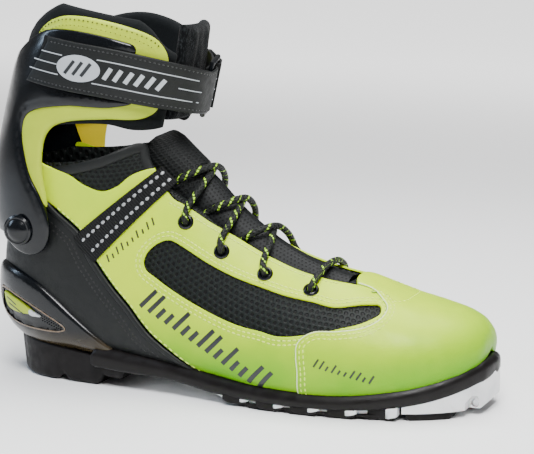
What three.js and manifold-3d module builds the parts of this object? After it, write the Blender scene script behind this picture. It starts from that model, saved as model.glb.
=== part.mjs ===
// A cross-country skating boot, right foot, millimetres, +Z up. The toe points to +X and the outer
// (lateral) side of the foot is at -Y. The origin is on the floor at the middle of the heel tread.
//
// The boot is laid up like the real one: every layer of the lower boot is an offset of one foot surface,
// and every layer of the hinged cuff is an offset of one shank surface. Panels are cut out of a layer by
// side-view outlines.
import * as THREE from "three";
import { mergeVertices } from "three/addons/utils/BufferGeometryUtils.js";
import Module from "manifold-3d";

const wasm = await Module();
wasm.setup();

// ---------------------------------------------------------------- driving dimensions
const HALF = 80; // half-length of a cutter that goes right through the boot
const GAP = 0.35; // air between neighbouring pieces
const PIVOT = { x: -15, z: 90 }; // axis of the two ankle rivets
const BINDING_BAR = { x: 247.5, y: 6.5, z: 6.8, radius: 2, halfLength: 16 };
const LACE_RADIUS = 1.65;
// The ankle joint across the boot: distances from the middle plane to the rivet's end, the lobe's two flat
// faces.
const RIVET = {
  shank: 4.1, hole: 4.6, head: 8.6, bush: 8.8, lobe: 13, inner: 25, lobeInside: 38.6, lobeOutside: 42.4,
};
const EYELET_TOP = 1.3; // how far an eyelet stands above its panel
const EYELET = { flange: 4.6, barrel: 3.2, bore: 2.6, hole: 3.6 };

// Layer heights above the foot surface, [inside, outside].
const SOCK = [-2.6, 0];
const PANEL = [0.35, 1.6];
const OUTER = [2.0, 4.4];
const TAPE = [1.95, 3.1];
// Layer heights above the shank surface.
const PAD = [-7, 0];
const PLATE = [0.4, 1.9];
const FRAME = [2.3, 4.6];

// Foot sections from the toe tip (t = 0) to the collar (t = 1), which fan round the instep as the foot
// turns up: t, top x, top z, bottom x, bottom z, half-width, roundness above, roundness below, height of
// the widest point, centre y.
const FOOT = [
  [0.0, 249.5, 34.5, 249.5, 34.5, 0, 2.1, 2.6, -0.1, 7],
  [0.02, 248.6, 41, 248, 28, 13, 2.1, 2.6, -0.1, 6.9],
  [0.05, 245, 46.5, 243.5, 23, 22, 2.1, 2.9, -0.15, 6.6],
  [0.1, 236, 51.8, 234, 18, 31.5, 2.1, 3.2, -0.2, 6],
  [0.16, 222, 55.8, 221, 14, 39, 2.1, 3.6, -0.25, 4.6],
  [0.24, 202, 60.8, 201, 10.5, 44.5, 2.1, 4, -0.3, 3],
  [0.32, 183, 68, 179, 8.5, 47, 2, 4.4, -0.36, 1],
  [0.4, 164, 73, 155, 8.5, 46.5, 1.9, 4.4, -0.42, -1],
  [0.48, 147, 79.5, 129, 10, 44, 1.8, 4.4, -0.45, -2],
  [0.56, 131, 87.5, 102, 13, 40.5, 1.75, 4.2, -0.42, -2],
  [0.63, 117, 97, 72, 16, 38, 1.75, 4, -0.35, -1.5],
  [0.7, 104, 107.5, 40, 18, 36.5, 1.8, 3.6, -0.25, -1],
  [0.76, 93, 118, 10, 19.5, 36, 1.9, 3.2, -0.2, 0],
  [0.82, 82.5, 127, -18, 22, 35.5, 2, 2.8, -0.1, 0],
  [0.87, 74.5, 134, -37.5, 36, 35, 2, 2.4, -0.05, 0],
  [0.91, 69, 139, -41, 60, 35, 2, 2.2, 0, 0],
  [0.95, 64.5, 143, -36.5, 94, 35.5, 2, 2.1, 0, 0],
  [1.0, 60, 147, -26, 139, 36.5, 2, 2.1, 0, 0],
];

// Shank sections from the pivots (t = 0) up to the rim: t, front x, front z, back x, back z, half-width,
// then as above.
const SHANK = [
  [0.0, 58, 62, -41.2, 82, 38.5, 2.2, 2.3, 0, 0],
  [0.15, 59, 78, -41.4, 99, 39, 2.2, 2.3, 0, 0],
  [0.3, 60.5, 95, -40.6, 117, 39.5, 2.2, 2.3, 0, 0],
  [0.45, 62.5, 112, -38.2, 134, 40.2, 2.2, 2.3, 0, 0],
  [0.6, 65.5, 130, -34.4, 151, 40.8, 2.2, 2.3, 0, 0],
  [0.75, 69.5, 148, -30, 168, 41.3, 2.2, 2.3, 0, 0],
  [0.9, 73.5, 166, -25.5, 184, 41.8, 2.2, 2.3, 0, 0],
  [1.05, 77.5, 184, -20, 201, 42, 2.2, 2.3, 0, 0],
  [1.25, 81.5, 207, -12, 224, 41.5, 2.2, 2.3, 0, 0],
];

// ---------------------------------------------------------------- surfaces
// A smooth value from a table of rows, by cubic Hermite interpolation of column k.
function smooth(rows, k, t) {
  const n = rows.length;
  const T = rows.map((r) => r[0]);
  const V = rows.map((r) => r[k]);
  const slope = (i) => (V[i + 1] - V[i]) / (T[i + 1] - T[i]);
  const tangent = (i) => {
    if (i === 0) return 1.5 * slope(0) - 0.5 * tangent(1);
    if (i === n - 1) return 1.5 * slope(n - 2) - 0.5 * tangent(n - 2);
    const before = T[i] - T[i - 1];
    const after = T[i + 1] - T[i];
    return (slope(i - 1) * after + slope(i) * before) / (before + after);
  };
  let i = T.findIndex((v, j) => j < n - 1 && t <= T[j + 1]);
  if (i < 0) i = n - 2;
  const h = T[i + 1] - T[i];
  const s = (t - T[i]) / h;
  return (
    (2 * s ** 3 - 3 * s ** 2 + 1) * V[i] +
    (s ** 3 - 2 * s ** 2 + s) * h * tangent(i) +
    (3 * s ** 2 - 2 * s ** 3) * V[i + 1] +
    (s ** 3 - s ** 2) * h * tangent(i + 1)
  );
}

// Half of a section as [y, height along the chord] points from its top to its bottom, with the length run
// so far.
function halfSection(width, half, above, below, widest) {
  const STEPS = 64;
  const waist = widest * half;
  const points = [];
  for (let i = 0; i <= STEPS; i++) {
    const q = (i / STEPS) * (Math.PI / 2);
    points.push([width * Math.sin(q) ** (2 / above), waist + (half - waist) * Math.cos(q) ** (2 / above)]);
  }
  for (let i = 1; i <= STEPS; i++) {
    const q = (i / STEPS) * (Math.PI / 2);
    points.push([width * Math.cos(q) ** (2 / below), waist - (half + waist) * Math.sin(q) ** (2 / below)]);
  }
  const run = [0];
  for (let i = 1; i < points.length; i++)
    run.push(run[i - 1] + Math.hypot(points[i][0] - points[i - 1][0], points[i][1] - points[i - 1][1]));
  return { points, run };
}

// A surface from section rows. at(t, a): a is 0 on the top or front ridge and -1 or 1 on the bottom or back
// line, by girth.
function surface(rows) {
  const cache = new Map();
  function section(t) {
    if (!cache.has(t)) {
      const columns = [1, 2, 3, 4, 5, 6, 7, 8, 9].map((k) => smooth(rows, k, t));
      const [fx, fz, bx, bz, width, above, below, widest, y0] = columns;
      const chord = Math.hypot(fx - bx, fz - bz);
      const up = chord < 1e-6 ? [0, 1] : [(fx - bx) / chord, (fz - bz) / chord];
      const half = halfSection(Math.max(width, 0), chord / 2, above, below, widest);
      cache.set(t, { x: (fx + bx) / 2, z: (fz + bz) / 2, up, y0, ...half });
    }
    return cache.get(t);
  }
  function at(t, around) {
    const s = section(t);
    const a = around > 1 ? around - 2 : around < -1 ? around + 2 : around;
    const wanted = Math.abs(a) * s.run[s.run.length - 1];
    let i = s.run.findIndex((r) => r >= wanted);
    if (i < 1) i = 1;
    const f = (wanted - s.run[i - 1]) / Math.max(s.run[i] - s.run[i - 1], 1e-9);
    const [from, to] = [s.points[i - 1], s.points[i]];
    const [y, z] = [0, 1].map((k) => from[k] + (to[k] - from[k]) * Math.min(f, 1));
    return new THREE.Vector3(s.x + s.up[0] * z, s.y0 + Math.sign(a) * y, s.z + s.up[1] * z);
  }
  const first = rows[0][0];
  function normal(t, a) {
    const closed = rows[0][5] === 0;
    const u = closed ? Math.max(t, 0.004) : t;
    const D = 0.003;
    const E = 0.012;
    const along = at(u + D, a).sub(at(Math.max(u - D, first), a));
    const around = at(u, a + E).sub(at(u, a - E));
    const n = new THREE.Vector3().crossVectors(around, along).normalize();
    if (closed && t < 0.004) return new THREE.Vector3(1, 0, 0);
    return n;
  }
  const point = (t, a, h) => at(t, a).addScaledVector(normal(t, a), h);
  return { at, normal, point };
}
const foot = surface(FOOT);
const shank = surface(SHANK);

const steps = (from, to, count) => Array.from({ length: count + 1 },
    (_, i) => from + ((to - from) * i) / count);
const FOOT_T = [0, 0.012, 0.03, 0.06, 0.1, ...steps(0.15, 0.8, 13), 0.84, 0.87, 0.9, 0.935, 0.97, 1];
const FOOT_A = steps(-1, 1, 20);
const SHANK_T = steps(0, 1.25, 10);
const SHANK_A = steps(-1, 1, 24);
// The grid lines strictly between two values, with the two values themselves, so that cut layers keep the
// same facets.
const between = (grid, from, to) => [from, ...grid.filter((v) => v > from + 1e-6 && v < to - 1e-6), to];

// ---------------------------------------------------------------- solids
// A closed geometry from rows of points: an outer skin, an inner skin and the walls between them.
function skin(outer, inner, closedAround) {
  const rows = outer.length;
  const cols = outer[0].length;
  const positions = [];
  const quad = (a, b, c, d) => {
    for (const p of [a, b, c, a, c, d]) positions.push(p.x, p.y, p.z);
  };
  for (let i = 0; i < rows - 1; i++)
    for (let j = 0; j < cols - 1; j++) {
      quad(outer[i][j], outer[i][j + 1], outer[i + 1][j + 1], outer[i + 1][j]);
      quad(inner[i][j], inner[i + 1][j], inner[i + 1][j + 1], inner[i][j + 1]);
    }
  for (let j = 0; j < cols - 1; j++) {
    quad(inner[0][j], inner[0][j + 1], outer[0][j + 1], outer[0][j]);
    quad(outer[rows - 1][j], outer[rows - 1][j + 1], inner[rows - 1][j + 1], inner[rows - 1][j]);
  }
  if (!closedAround)
    for (let i = 0; i < rows - 1; i++) {
      quad(outer[i][0], outer[i + 1][0], inner[i + 1][0], inner[i][0]);
      quad(inner[i][cols - 1], inner[i + 1][cols - 1], outer[i + 1][cols - 1], outer[i][cols - 1]);
    }
  const geometry = new THREE.BufferGeometry();
  geometry.setAttribute("position", new THREE.Float32BufferAttribute(positions, 3));
  return geometry;
}

// A three.js geometry as a manifold-3d solid, facing out whichever way its triangles ran.
function solid(geometry) {
  const plain = geometry.index ? geometry.toNonIndexed() : geometry.clone();
  plain.deleteAttribute("normal");
  plain.deleteAttribute("uv");
  const merged = mergeVertices(plain, 1e-3);
  const ids = merged.index.array;
  const triangles = [];
  for (let i = 0; i < ids.length; i += 3) {
    const [a, b, c] = [ids[i], ids[i + 1], ids[i + 2]];
    if (a !== b && b !== c && a !== c) triangles.push(a, b, c);
  }
  const make = (list) =>
    new wasm.Manifold(
      new wasm.Mesh({
        numProp: 3,
        vertProperties: new Float32Array(merged.attributes.position.array),
        triVerts: new Uint32Array(list),
      }),
    );
  const made = make(triangles);
  if (made.volume() > 0) return made;
  const turned = [];
  for (let i = 0; i < triangles.length; i += 3) turned.push(triangles[i], triangles[i + 2], triangles[i + 1]);
  return make(turned);
}

// A layer of a surface between two heights; heights may be numbers or functions of (t, a).
function layer(on, ts, as, [low, high]) {
  const value = (h, t, a) => (typeof h === "function" ? h(t, a) : h);
  const rows = (h) => ts.map((t) => as.map((a) => on.point(t, a, value(h, t, a))));
  return solid(skin(rows(high), rows(low), as[0] === -1 && as[as.length - 1] === 1));
}

// The whole volume inside a layer height of the foot.
function footVolume(h) {
  const ring = FOOT_T.map((t) => FOOT_A.map((a) => foot.point(t, a, h)));
  const axis = ring.map((r) => {
    const middle = r.reduce((sum, p) => sum.add(p), new THREE.Vector3()).divideScalar(r.length);
    return r.map(() => middle);
  });
  return solid(skin(ring, axis, true));
}

const vectors = (points) => points.map(([x, z]) => new THREE.Vector2(x, z));
const curved = (points, divisions = points.length * 3) =>
  new THREE.SplineCurve(vectors(points)).getSpacedPoints(divisions).map((v) => [v.x, v.y]);

// A cutter that runs along Y from y0 to y1 with a side-view outline of [x, z] points; with a slant it is
// lowered by that share of the distance from the outer side of the cuff.
function prism(points, y0 = -HALF, y1 = HALF, slant = 0) {
  const geometry = new THREE.ExtrudeGeometry(new THREE.Shape(vectors(points)),
      { depth: y1 - y0, bevelEnabled: false });
  geometry.rotateX(Math.PI / 2);
  geometry.translate(0, y1, 0);
  const shear = new THREE.Matrix4().set(1, 0, 0, 0, 0, 1, 0, 0, 0, -slant, 1, -42 * slant, 0, 0, 0, 1);
  geometry.applyMatrix4(shear);
  return solid(geometry);
}

// A cutter that runs along Z from z0 to z1 with a plan outline of [x, y] points.
function column(points, z0, z1) {
  const geometry = new THREE.ExtrudeGeometry(new THREE.Shape(vectors(points)),
      { depth: z1 - z0, bevelEnabled: false });
  geometry.translate(0, 0, z0);
  return solid(geometry);
}

function box(x0, x1, y0, y1, z0, z1) {
  const geometry = new THREE.BoxGeometry(x1 - x0, y1 - y0, z1 - z0);
  geometry.translate((x0 + x1) / 2, (y0 + y1) / 2, (z0 + z1) / 2);
  return solid(geometry);
}

function rod(radius, from, to, sides) {
  const axis = new THREE.Vector3().subVectors(to, from);
  const geometry = new THREE.CylinderGeometry(radius, radius, axis.length(), sides);
  geometry.applyQuaternion(new THREE.Quaternion().setFromUnitVectors(new THREE.Vector3(0, 1, 0),
      axis.clone().normalize()));
  geometry.translate(...new THREE.Vector3().addVectors(from, to).multiplyScalar(0.5).toArray());
  return solid(geometry);
}

// A profile of [radius, height] points turned about an axis that starts at a point and runs along a
// direction.
function turned(profile, sides, at, direction) {
  const geometry = new THREE.LatheGeometry(vectors([...profile, profile[0]]), sides);
  geometry.applyQuaternion(new THREE.Quaternion().setFromUnitVectors(new THREE.Vector3(0, 1, 0), direction));
  geometry.translate(at.x, at.y, at.z);
  return solid(geometry);
}

const union = (parts) => parts.reduce((all, part) => all.add(part));
const halves = { lateral: [-HALF, 0], medial: [0, HALF] };

// ---------------------------------------------------------------- scene graph
const boot = new THREE.Group();
const MATERIALS = {
  lime: new THREE.MeshStandardMaterial({ color: 0xb4dc1e, roughness: 0.45 }),
  lime_soft: new THREE.MeshStandardMaterial({ color: 0xb6cf45, roughness: 0.6 }),
  mesh_fabric: new THREE.MeshStandardMaterial({ color: 0x14181a, roughness: 0.9 }),
  black_synthetic: new THREE.MeshStandardMaterial({ color: 0x24282a, roughness: 0.5 }),
  gloss_black: new THREE.MeshStandardMaterial({ color: 0x121519, roughness: 0.2 }),
  webbing: new THREE.MeshStandardMaterial({ color: 0x151718, roughness: 0.8 }),
  lace_cord: new THREE.MeshStandardMaterial({ color: 0x1a1d1a, roughness: 0.8 }),
  padding: new THREE.MeshStandardMaterial({ color: 0x111314, roughness: 0.9 }),
  black_rubber: new THREE.MeshStandardMaterial({ color: 0x181516, roughness: 0.7 }),
  white_plastic: new THREE.MeshStandardMaterial({ color: 0xe6e6e6, roughness: 0.4 }),
  steel: new THREE.MeshStandardMaterial({ color: 0xb9bcc0, roughness: 0.3, metalness: 1 }),
  insole: new THREE.MeshStandardMaterial({ color: 0x3a3d3f, roughness: 0.9 }),
};

function add(name, material, made) {
  const mesh = made.getMesh();
  const geometry = new THREE.BufferGeometry();
  geometry.setAttribute("position", new THREE.BufferAttribute(Float32Array.from(mesh.vertProperties), 3));
  geometry.setIndex(new THREE.BufferAttribute(Uint32Array.from(mesh.triVerts), 1));
  const node = new THREE.Mesh(geometry, MATERIALS[material]);
  node.name = name;
  boot.add(node);
}

// ---------------------------------------------------------------- eyelet places, counted up from the toe
const EYELETS = [
  [0.42, 0.214],
  [0.539, 0.221],
  [0.646, 0.229],
  [0.744, 0.214],
];
const TAPE_T = [0.824, 0.876]; // the tape's two edges
const LOOP = { t: 0.85, a: 0.155 }; // where the lace's ends tuck in under the tape
const eyeletAxis = (t, a) => ({ at: foot.at(t, a), out: foot.normal(t, a) });
function eyeletHoles(radius) {
  return union(
    EYELETS.flatMap(([t, a]) =>
      [-a, a].map((side) => {
        const { at, out } = eyeletAxis(t, side);
        return rod(radius, at.clone().addScaledVector(out, -8), at.clone().addScaledVector(out, 8), 12);
      }),
    ),
  );
}
const holes = eyeletHoles(EYELET.hole);

// ---------------------------------------------------------------- lower boot, soft layers
const THROAT_END = 0.335; // where the throat opens, behind the toe cap
const THROAT_HALF = 0.135; // the throat's half-width, as a share of the girth
const throat = layer(foot, steps(THROAT_END, 1.02, 14), steps(-THROAT_HALF, THROAT_HALF, 6), [-12, 12]);
const rivetHoles = rod(RIVET.hole, new THREE.Vector3(PIVOT.x, -HALF, PIVOT.z),
    new THREE.Vector3(PIVOT.x, HALF, PIVOT.z), 16);

function bootieSock() {
  return layer(foot, FOOT_T, FOOT_A, SOCK).subtract(throat).subtract(holes).subtract(rivetHoles);
}

// The tongue lies under both eyestays and swells up between them.
function tonguePad() {
  const RAISED = -1.2;
  const UNDER = -8.8;
  const THICK = 2.2;
  const high = (t, a) => UNDER + (RAISED - UNDER) * THREE.MathUtils.smoothstep(0.1 - Math.abs(a), 0, 0.035);
  const across = [-0.2, -0.15, -0.1, -0.082, -0.065, 0, 0.065, 0.082, 0.1, 0.15, 0.2];
  return layer(foot, [0.36, ...steps(0.4, 0.97, 9)], across, [(t, a) => high(t, a) - THICK, high]);
}

function tongueFacing() {
  return layer(foot, steps(0.4, 0.78, 6), [-0.06, 0, 0.06], [-1.2 + GAP, 0]);
}

// ---------------------------------------------------------------- lower boot, panels
const TOE_SEAM = [
  [182, 90], [182, 68], [190, 64], [197, 60], [200, 55], [193, 49.5], [180, 47], [166, 46], [160, 43],
  [157, 38], [157, 28], [158, 2],
];
const COUNTER_FRONT = [
  [-4, 108], [9, 97], [20, 88], [29, 74], [41, 59], [52, 48], [64, 35], [80, 24], [98, 14], [116, 4],
];
const WINDOW = [
  [76, 86], [99, 76], [125, 66.5], [150, 61], [176, 58], [196, 57.5], [195, 52], [178, 48], [160, 44.5],
  [145, 43], [124, 46], [100, 52], [80, 60], [64, 70], [62, 78], [67, 84.5],
];
const QUARTER_TOP = [
  [-3, 125], [14, 122], [24, 116.5], [34, 114], [43, 117], [50, 123], [58, 127], [63, 127],
];

const shifted = (points, dx, dz) => points.map(([x, z]) => [x + dx, z + dz]);
const toeRegion = (d) => prism([...shifted(TOE_SEAM, d, 0), [300, 2], [300, 90]]);
const counterRegion = (d) => prism([...shifted(COUNTER_FRONT, d, d), [116, -20], [-90, -20], [-90, 108]]);

function toeCap(panels) {
  return panels.intersect(toeRegion(GAP)).subtract(throat);
}

function counterWrap(panels) {
  return panels.intersect(counterRegion(-GAP)).subtract(rivetHoles);
}

function quarter(panels, side) {
  const outline = [...curved(QUARTER_TOP, 12), [90, 140], [200, 140], [200, 0], [40, 0], [-20, 60],
      [-20, 120]];
  const window = prism(curved([...WINDOW, WINDOW[0]], 34));
  return panels
    .intersect(prism(outline, ...halves[side]))
    .subtract(toeRegion(-GAP))
    .subtract(counterRegion(GAP))
    .subtract(window)
    .subtract(throat)
    .subtract(holes);
}

// The woven tape that ties the heel to the top of the throat.
function heelTape(side) {
  const sign = side === "lateral" ? -1 : 1;
  const across = between(FOOT_A, THROAT_HALF - 0.012, 0.475).map((a) => sign * a);
  if (sign < 0) across.reverse();
  return layer(foot, between(FOOT_T, ...TAPE_T), across, TAPE);
}

function eyelet(t, a) {
  const { at, out } = eyeletAxis(t, a);
  const top = PANEL[1];
  const profile = [
    [EYELET.bore, -2.4],
    [EYELET.barrel, -2.4],
    [EYELET.barrel, top + GAP],
    [EYELET.flange, top + GAP],
    [EYELET.flange - 0.6, top + EYELET_TOP],
    [EYELET.bore + 0.4, top + EYELET_TOP],
  ];
  return turned(profile, 10, at, out);
}

// One lace, criss-cross: a bar over the lowest pair of eyelets, then each side crosses over the tongue,
// dips under the opposite eyestay and comes up through the next eyelet. Both ends tuck in under the tapes.
function lace() {
  const UNDER = -5.5;
  const OVER = PANEL[1] + EYELET_TOP + LACE_RADIUS + 0.5;
  function crossing(from, side, up) {
    const [t, a] = EYELETS[from];
    const last = from === EYELETS.length - 1;
    const [nextT, nextA] = last ? [LOOP.t, LOOP.a] : EYELETS[from + 1];
    const mid = up ? 7.1 : 3.2;
    const way = [
      [t, side * a, -3],
      [t, side * a, 0.3],
      [t, side * a, 3.3],
      [t + 0.014, side * a * 0.88, OVER + 0.2],
      [t + (nextT - t) * 0.34, side * 0.085, (OVER + mid) / 2 + 0.3],
      [t + (nextT - t) * 0.52, 0, mid],
      [t + (nextT - t) * 0.68, -side * 0.06, mid / 2 + 0.9],
      [t + (nextT - t) * 0.78, -side * 0.09, -1.6],
      [t + (nextT - t) * 0.86, -side * 0.115, UNDER],
    ];
    if (last) way.push([nextT, -side * nextA, UNDER], [nextT + 0.015, -side * (nextA + 0.02), UNDER]);
    else way.push([nextT - 0.01, -side * nextA * 0.93, UNDER + 0.3]);
    return way.map(([u, v, h]) => foot.point(u, v, h));
  }
  const [t, a] = EYELETS[0];
  // The lowest row goes straight over the tongue, and each half of the lace climbs from its own second
  // eyelet.
  const bar = [-1, -0.9, -0.4, 0, 0.4, 0.9, 1].map((f) => foot.point(t, f * a,
      Math.abs(f) === 1 ? 3.3 : OVER + 0.4 * (Math.abs(f) - 0.4)));
  const sink = (side) => [
    [t, side * a, 0.3],
    [t, side * a, -3],
    [t + 0.02, side * a, UNDER],
    [EYELETS[1][0] - 0.03, side * EYELETS[1][1], UNDER],
  ].map(([u, v, h]) => foot.point(u, v, h));
  const rest = (side) => {
    const points = [];
    for (let i = 1; i < EYELETS.length; i++) {
      const from = i % 2 === 1 ? side : -side;
      points.push(...crossing(i, from, (i + (side > 0)) % 2 === 0));
    }
    return points;
  };
  const route = [...rest(-1).reverse(), ...sink(-1).reverse(), ...bar, ...sink(1), ...rest(1)];
  const path = new THREE.CatmullRomCurve3(route, false, "centripetal");
  const corners = steps(0, 5, 5).map((i) => (i * Math.PI) / 3);
  const round = corners.map((q) => new THREE.Vector2(LACE_RADIUS * Math.cos(q), LACE_RADIUS * Math.sin(q)));
  const section = new THREE.Shape(round);
  return solid(new THREE.ExtrudeGeometry(section, { steps: 124, extrudePath: path, bevelEnabled: false }));
}

// ---------------------------------------------------------------- sole
// Plan half-widths of the sole along its length: x, lateral side, medial side.
const SOLE_PLAN = [
  [-42.5, 0, 0],
  [-40, 13, 13],
  [-34, 22, 22],
  [-24, 29, 29],
  [-8, 33.5, 33.5],
  [15, 35.5, 35.5],
  [45, 37, 35.5],
  [75, 39, 35.5],
  [102, 42.5, 37.5],
  [129, 46.5, 42],
  [155, 48.8, 46.5],
  [179, 47.6, 49.2],
  [201, 43.2, 48.6],
  [221, 36.5, 44.6],
  [235, 28, 38.8],
  [244, 19.5, 32],
  [250, 11.5, 25],
  [254, 2.5, 16.5],
  [256, -7, 7],
];
// Levels along the sole: x, top of the rand, bottom of the rand.
const RAND = [
  [-42.5, 30, 24],
  [-30, 27, 14],
  [0, 24, 12.5],
  [45, 20, 10],
  [80, 20, 7.5],
  [110, 14.5, 6.5],
  [130, 12, 5],
  [155, 11, 4.6],
  [179, 12, 4.8],
  [200, 14.5, 6],
  [219, 18.5, 9],
  [235, 24, 13],
  [245, 29, 17],
  [256, 35, 23.5],
];

function planOutline(x0, x1, inset) {
  const rows = SOLE_PLAN.map((row) => row[0]);
  const stations = between(rows.flatMap((x, i) => (i ? [(x + rows[i - 1]) / 2, x] : [x])), x0, x1)
    .map((x) => [x, inset - smooth(SOLE_PLAN, 1, x), smooth(SOLE_PLAN, 2, x) - inset])
    .filter(([, lateral, medial]) => medial - lateral > 1);
  return [...stations.map(([x, y]) => [x, y]), ...stations.reverse().map(([x, , y]) => [x, y])];
}
// A side-view band between two height functions.
function sideBand(top, bottom, x0, x1, count = 22) {
  const xs = steps(x0, x1, count);
  return [...xs.map((x) => [x, top(x)]), ...xs.reverse().map((x) => [x, bottom(x)])];
}

const randTop = (x) => smooth(RAND, 1, x);
const randBottom = (x) => smooth(RAND, 2, x);

function rand(footBlock) {
  const band = prism(sideBand(randTop, randBottom, 30, 255.9, 24));
  return column(planOutline(-42.3, 255.9, 0), -5, 60).intersect(band).subtract(footBlock);
}

function shankPlate() {
  const outline = sideBand((x) => randBottom(x) - GAP, (x) => Math.max(randBottom(x) - 3.4, 3.2), 45.4,
      214, 12);
  return column(planOutline(-42.3, 255.9, 4), -5, 60).intersect(prism(outline));
}

// The white toe piece with its nose, and the recess that the binding's jaw closes in.
function toePlate() {
  const top = (x) => randBottom(x) - GAP;
  const upper = steps(214.4, 255.6, 10).map((x) => [x, top(x)]);
  const outline = [...upper, [255.4, 16.5], [252.6, 6], [250.5, 4.2], [214.4, 4.2]];
  const { x, y, z, radius, halfLength } = BINDING_BAR;
  const jaw = prism([[x - 7, 0], [x - 7, 10], [x - 4, 13], [x + 2, 13], [x + 4, 10.5], [x + 4, 0]],
      y - 12, y + 12);
  const notch = prism([[x - 3.5, 0], [x - 3.5, 8], [x - 1, 11.5], [x + 1.5, 11.5], [x + 2.6, 9],
      [x + 2.6, 0]]);
  const side = halfLength + 1.5;
  const flanks = box(200, 300, -HALF, y - side, -5, 60).add(box(200, 300, y + side, HALF, -5, 60));
  const bore = rod(radius + 0.3, new THREE.Vector3(x, -HALF, z), new THREE.Vector3(x, HALF, z), 16);
  const whole = column(planOutline(-42.3, 255.9, 0.8), -5, 60).intersect(prism(outline));
  return whole.subtract(jaw).subtract(notch.intersect(flanks)).subtract(bore);
}

function bindingBar() {
  const { x, y, z, radius, halfLength } = BINDING_BAR;
  return rod(radius, new THREE.Vector3(x, y - halfLength, z), new THREE.Vector3(x, y + halfLength, z), 16);
}

// Two grooves run along the sole for the guide ridges of the binding plate.
const grooves = (depth) => box(-90, 236, -12.5, -6, -5, depth).add(box(-90, 236, 6, 12.5, -5, depth));

function heelTread() {
  const profile = [
    [-33, 13], [-33, 6], [-30, 1.5], [-26, 0], [4, 0], [5.5, 2], [7, 2], [8.5, 0], [28, 0], [31, 3],
    [33, 5.5], [36, 4.5], [43, 4.5], [45, 8], [45, 9.7], [0, 12.1], [-28, 13.4],
  ];
  return column(planOutline(-42.3, 255.9, 3.5), -5, 60).intersect(prism(profile)).subtract(grooves(3.2));
}

function forefootTread() {
  const profile = [
    [126, 1.4], [128, 0], [144, 0], [147, 1.6], [150, 1.6], [153, 0], [166, 0], [169, 1.6], [172, 1.6],
    [175, 0], [188, 0], [191, 1.6], [194, 1.6], [197, 0.6], [209, 0.6], [213, 2.85], [126, 2.85],
  ];
  return column(planOutline(-42.3, 255.9, 2), -5, 60).intersect(prism(profile)).subtract(grooves(1.3));
}

function toeTread() {
  const outline = [[216, 3.85], [216, 1.5], [218, 0], [237, 0], [239.5, 3.85]];
  return column(planOutline(-42.3, 255.9, 2.5), -5, 60).intersect(prism(outline)).subtract(grooves(2));
}

function footbed() {
  const along = between(FOOT_T, 0.06, 0.9);
  return layer(foot, along, [0.8, 0.9, 1, 1.1, 1.2], [-5.4, SOCK[0] - GAP]);
}

// ---------------------------------------------------------------- heel cup
const CUP_TOP = [
  [-60, 62], [-44, 63], [-34, 67], [-22, 65], [-7, 59], [5, 51], [15, 43], [25, 35], [36, 26.5],
  [46, 21],
];
const BADGE = [[-36, 47], [-27, 47], [-15, 44], [-7, 38.5], [-20, 37.5], [-32, 38.5]];

function heelCup(cupVolume, innerVolume) {
  const base = column(planOutline(-42.3, 46, 1.5), 13.8, 30);
  const region = prism([...curved(CUP_TOP, 16), [46, 20.3], [0, 24.6], [0, 13.8], [-70, 13.8], [-70, 62]]);
  const lower = base.intersect(prism([[-60, 31], [46, 24], [46, 10.6], [0, 13.8], [-31, 13.8], [-38, 19],
      [-60, 31]]));
  const bedded = lower.subtract(prism([...sideBand(() => 60, (x) => randBottom(x) - GAP, 29.6, 60, 4)]));
  return cupVolume.intersect(region).add(bedded).subtract(innerVolume);
}

function badge(side) {
  const across = side === "lateral" ? between(FOOT_A, -0.9, -0.6) : between(FOOT_A, 0.6, 0.9);
  return layer(foot, [0.8, 0.84, 0.87, 0.9], across,
      [OUTER[1] + GAP, OUTER[1] + 1.2]).intersect(prism(BADGE));
}

// ---------------------------------------------------------------- cuff
const FRAME_OUTLINE = [
  [-60, 86], [-27, 86], [-20, 79], [-9, 75.5], [0, 79], [4.5, 88], [4, 98], [-1, 111], [-7, 122],
  [-10.5, 134], [-12, 146], [-9.5, 154.5], [-3, 159], [18, 163], [43, 163], [54, 165.7], [45, 168.5],
  [24, 171.5], [10, 175], [6, 180], [10, 186], [20, 190], [40, 191.5], [57, 193], [57, 197.5], [50, 200.5],
  [34, 204], [18, 205.5], [5, 204], [-8, 199], [-20, 190], [-60, 190],
];
const FRAME_TOP = [
  [-60, 190], [-20, 190], [-8, 199], [5, 204], [18, 205.5], [34, 204], [50, 201.5], [57, 199.5], [90, 192],
];
const PLATE_OUTLINE = [
  [2, 104], [-0.5, 124], [0, 135], [2.5, 144.5], [8, 150.5], [18, 154], [39, 156], [58, 156.5], [64, 161],
  [67.5, 172], [71, 190], [68.5, 199], [63, 204], [50, 209], [26.5, 213], [12.8, 212], [1, 205.5],
  [-8, 192], [-14, 176], [-18, 150], [-14, 130], [-6, 112],
];
// The pad's top as seen from the outer side; it drops by PAD_SLANT for each millimetre towards the inner
// side.
const PAD_TOP = [
  [-60, 192], [-24, 194], [-16, 205.5], [-6, 213.5], [6, 219], [19, 222], [32, 222], [46, 218.5],
  [58, 213], [66, 207], [73, 197],
];
const PAD_SLANT = 0.15;
const PAD_BOTTOM = [
  [78, 190], [80, 160], [75, 156], [60, 160], [40, 158], [20, 154], [0, 151], [-20, 148], [-60, 146],
];
const FLAP_OUTLINE = [
  [40, 205], [66, 212], [77, 212.5], [88, 210], [110, 204], [110, 160], [84, 153.5], [76, 152.5],
  [60, 155], [40, 160],
];
const FLAP_HALF = [-0.115, 0.14]; // the flap's two edges, as shares of the girth

// Everything of the cuff that lies under a line of [x, z] points, which drops towards the inner side like
// the pad.
const underLine = (points) => prism([...points, [90, 60], [-60, 60]], -HALF, HALF, PAD_SLANT);
// The frame and plate outlines as they are on the inner side, where their upper parts sit lower.
const innerSide = (points) =>
  points.map(([x, z]) => [x, x < -15 ? z : z - 12 * THREE.MathUtils.clamp((z - 172) / 33.5, 0, 1)]);

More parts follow.
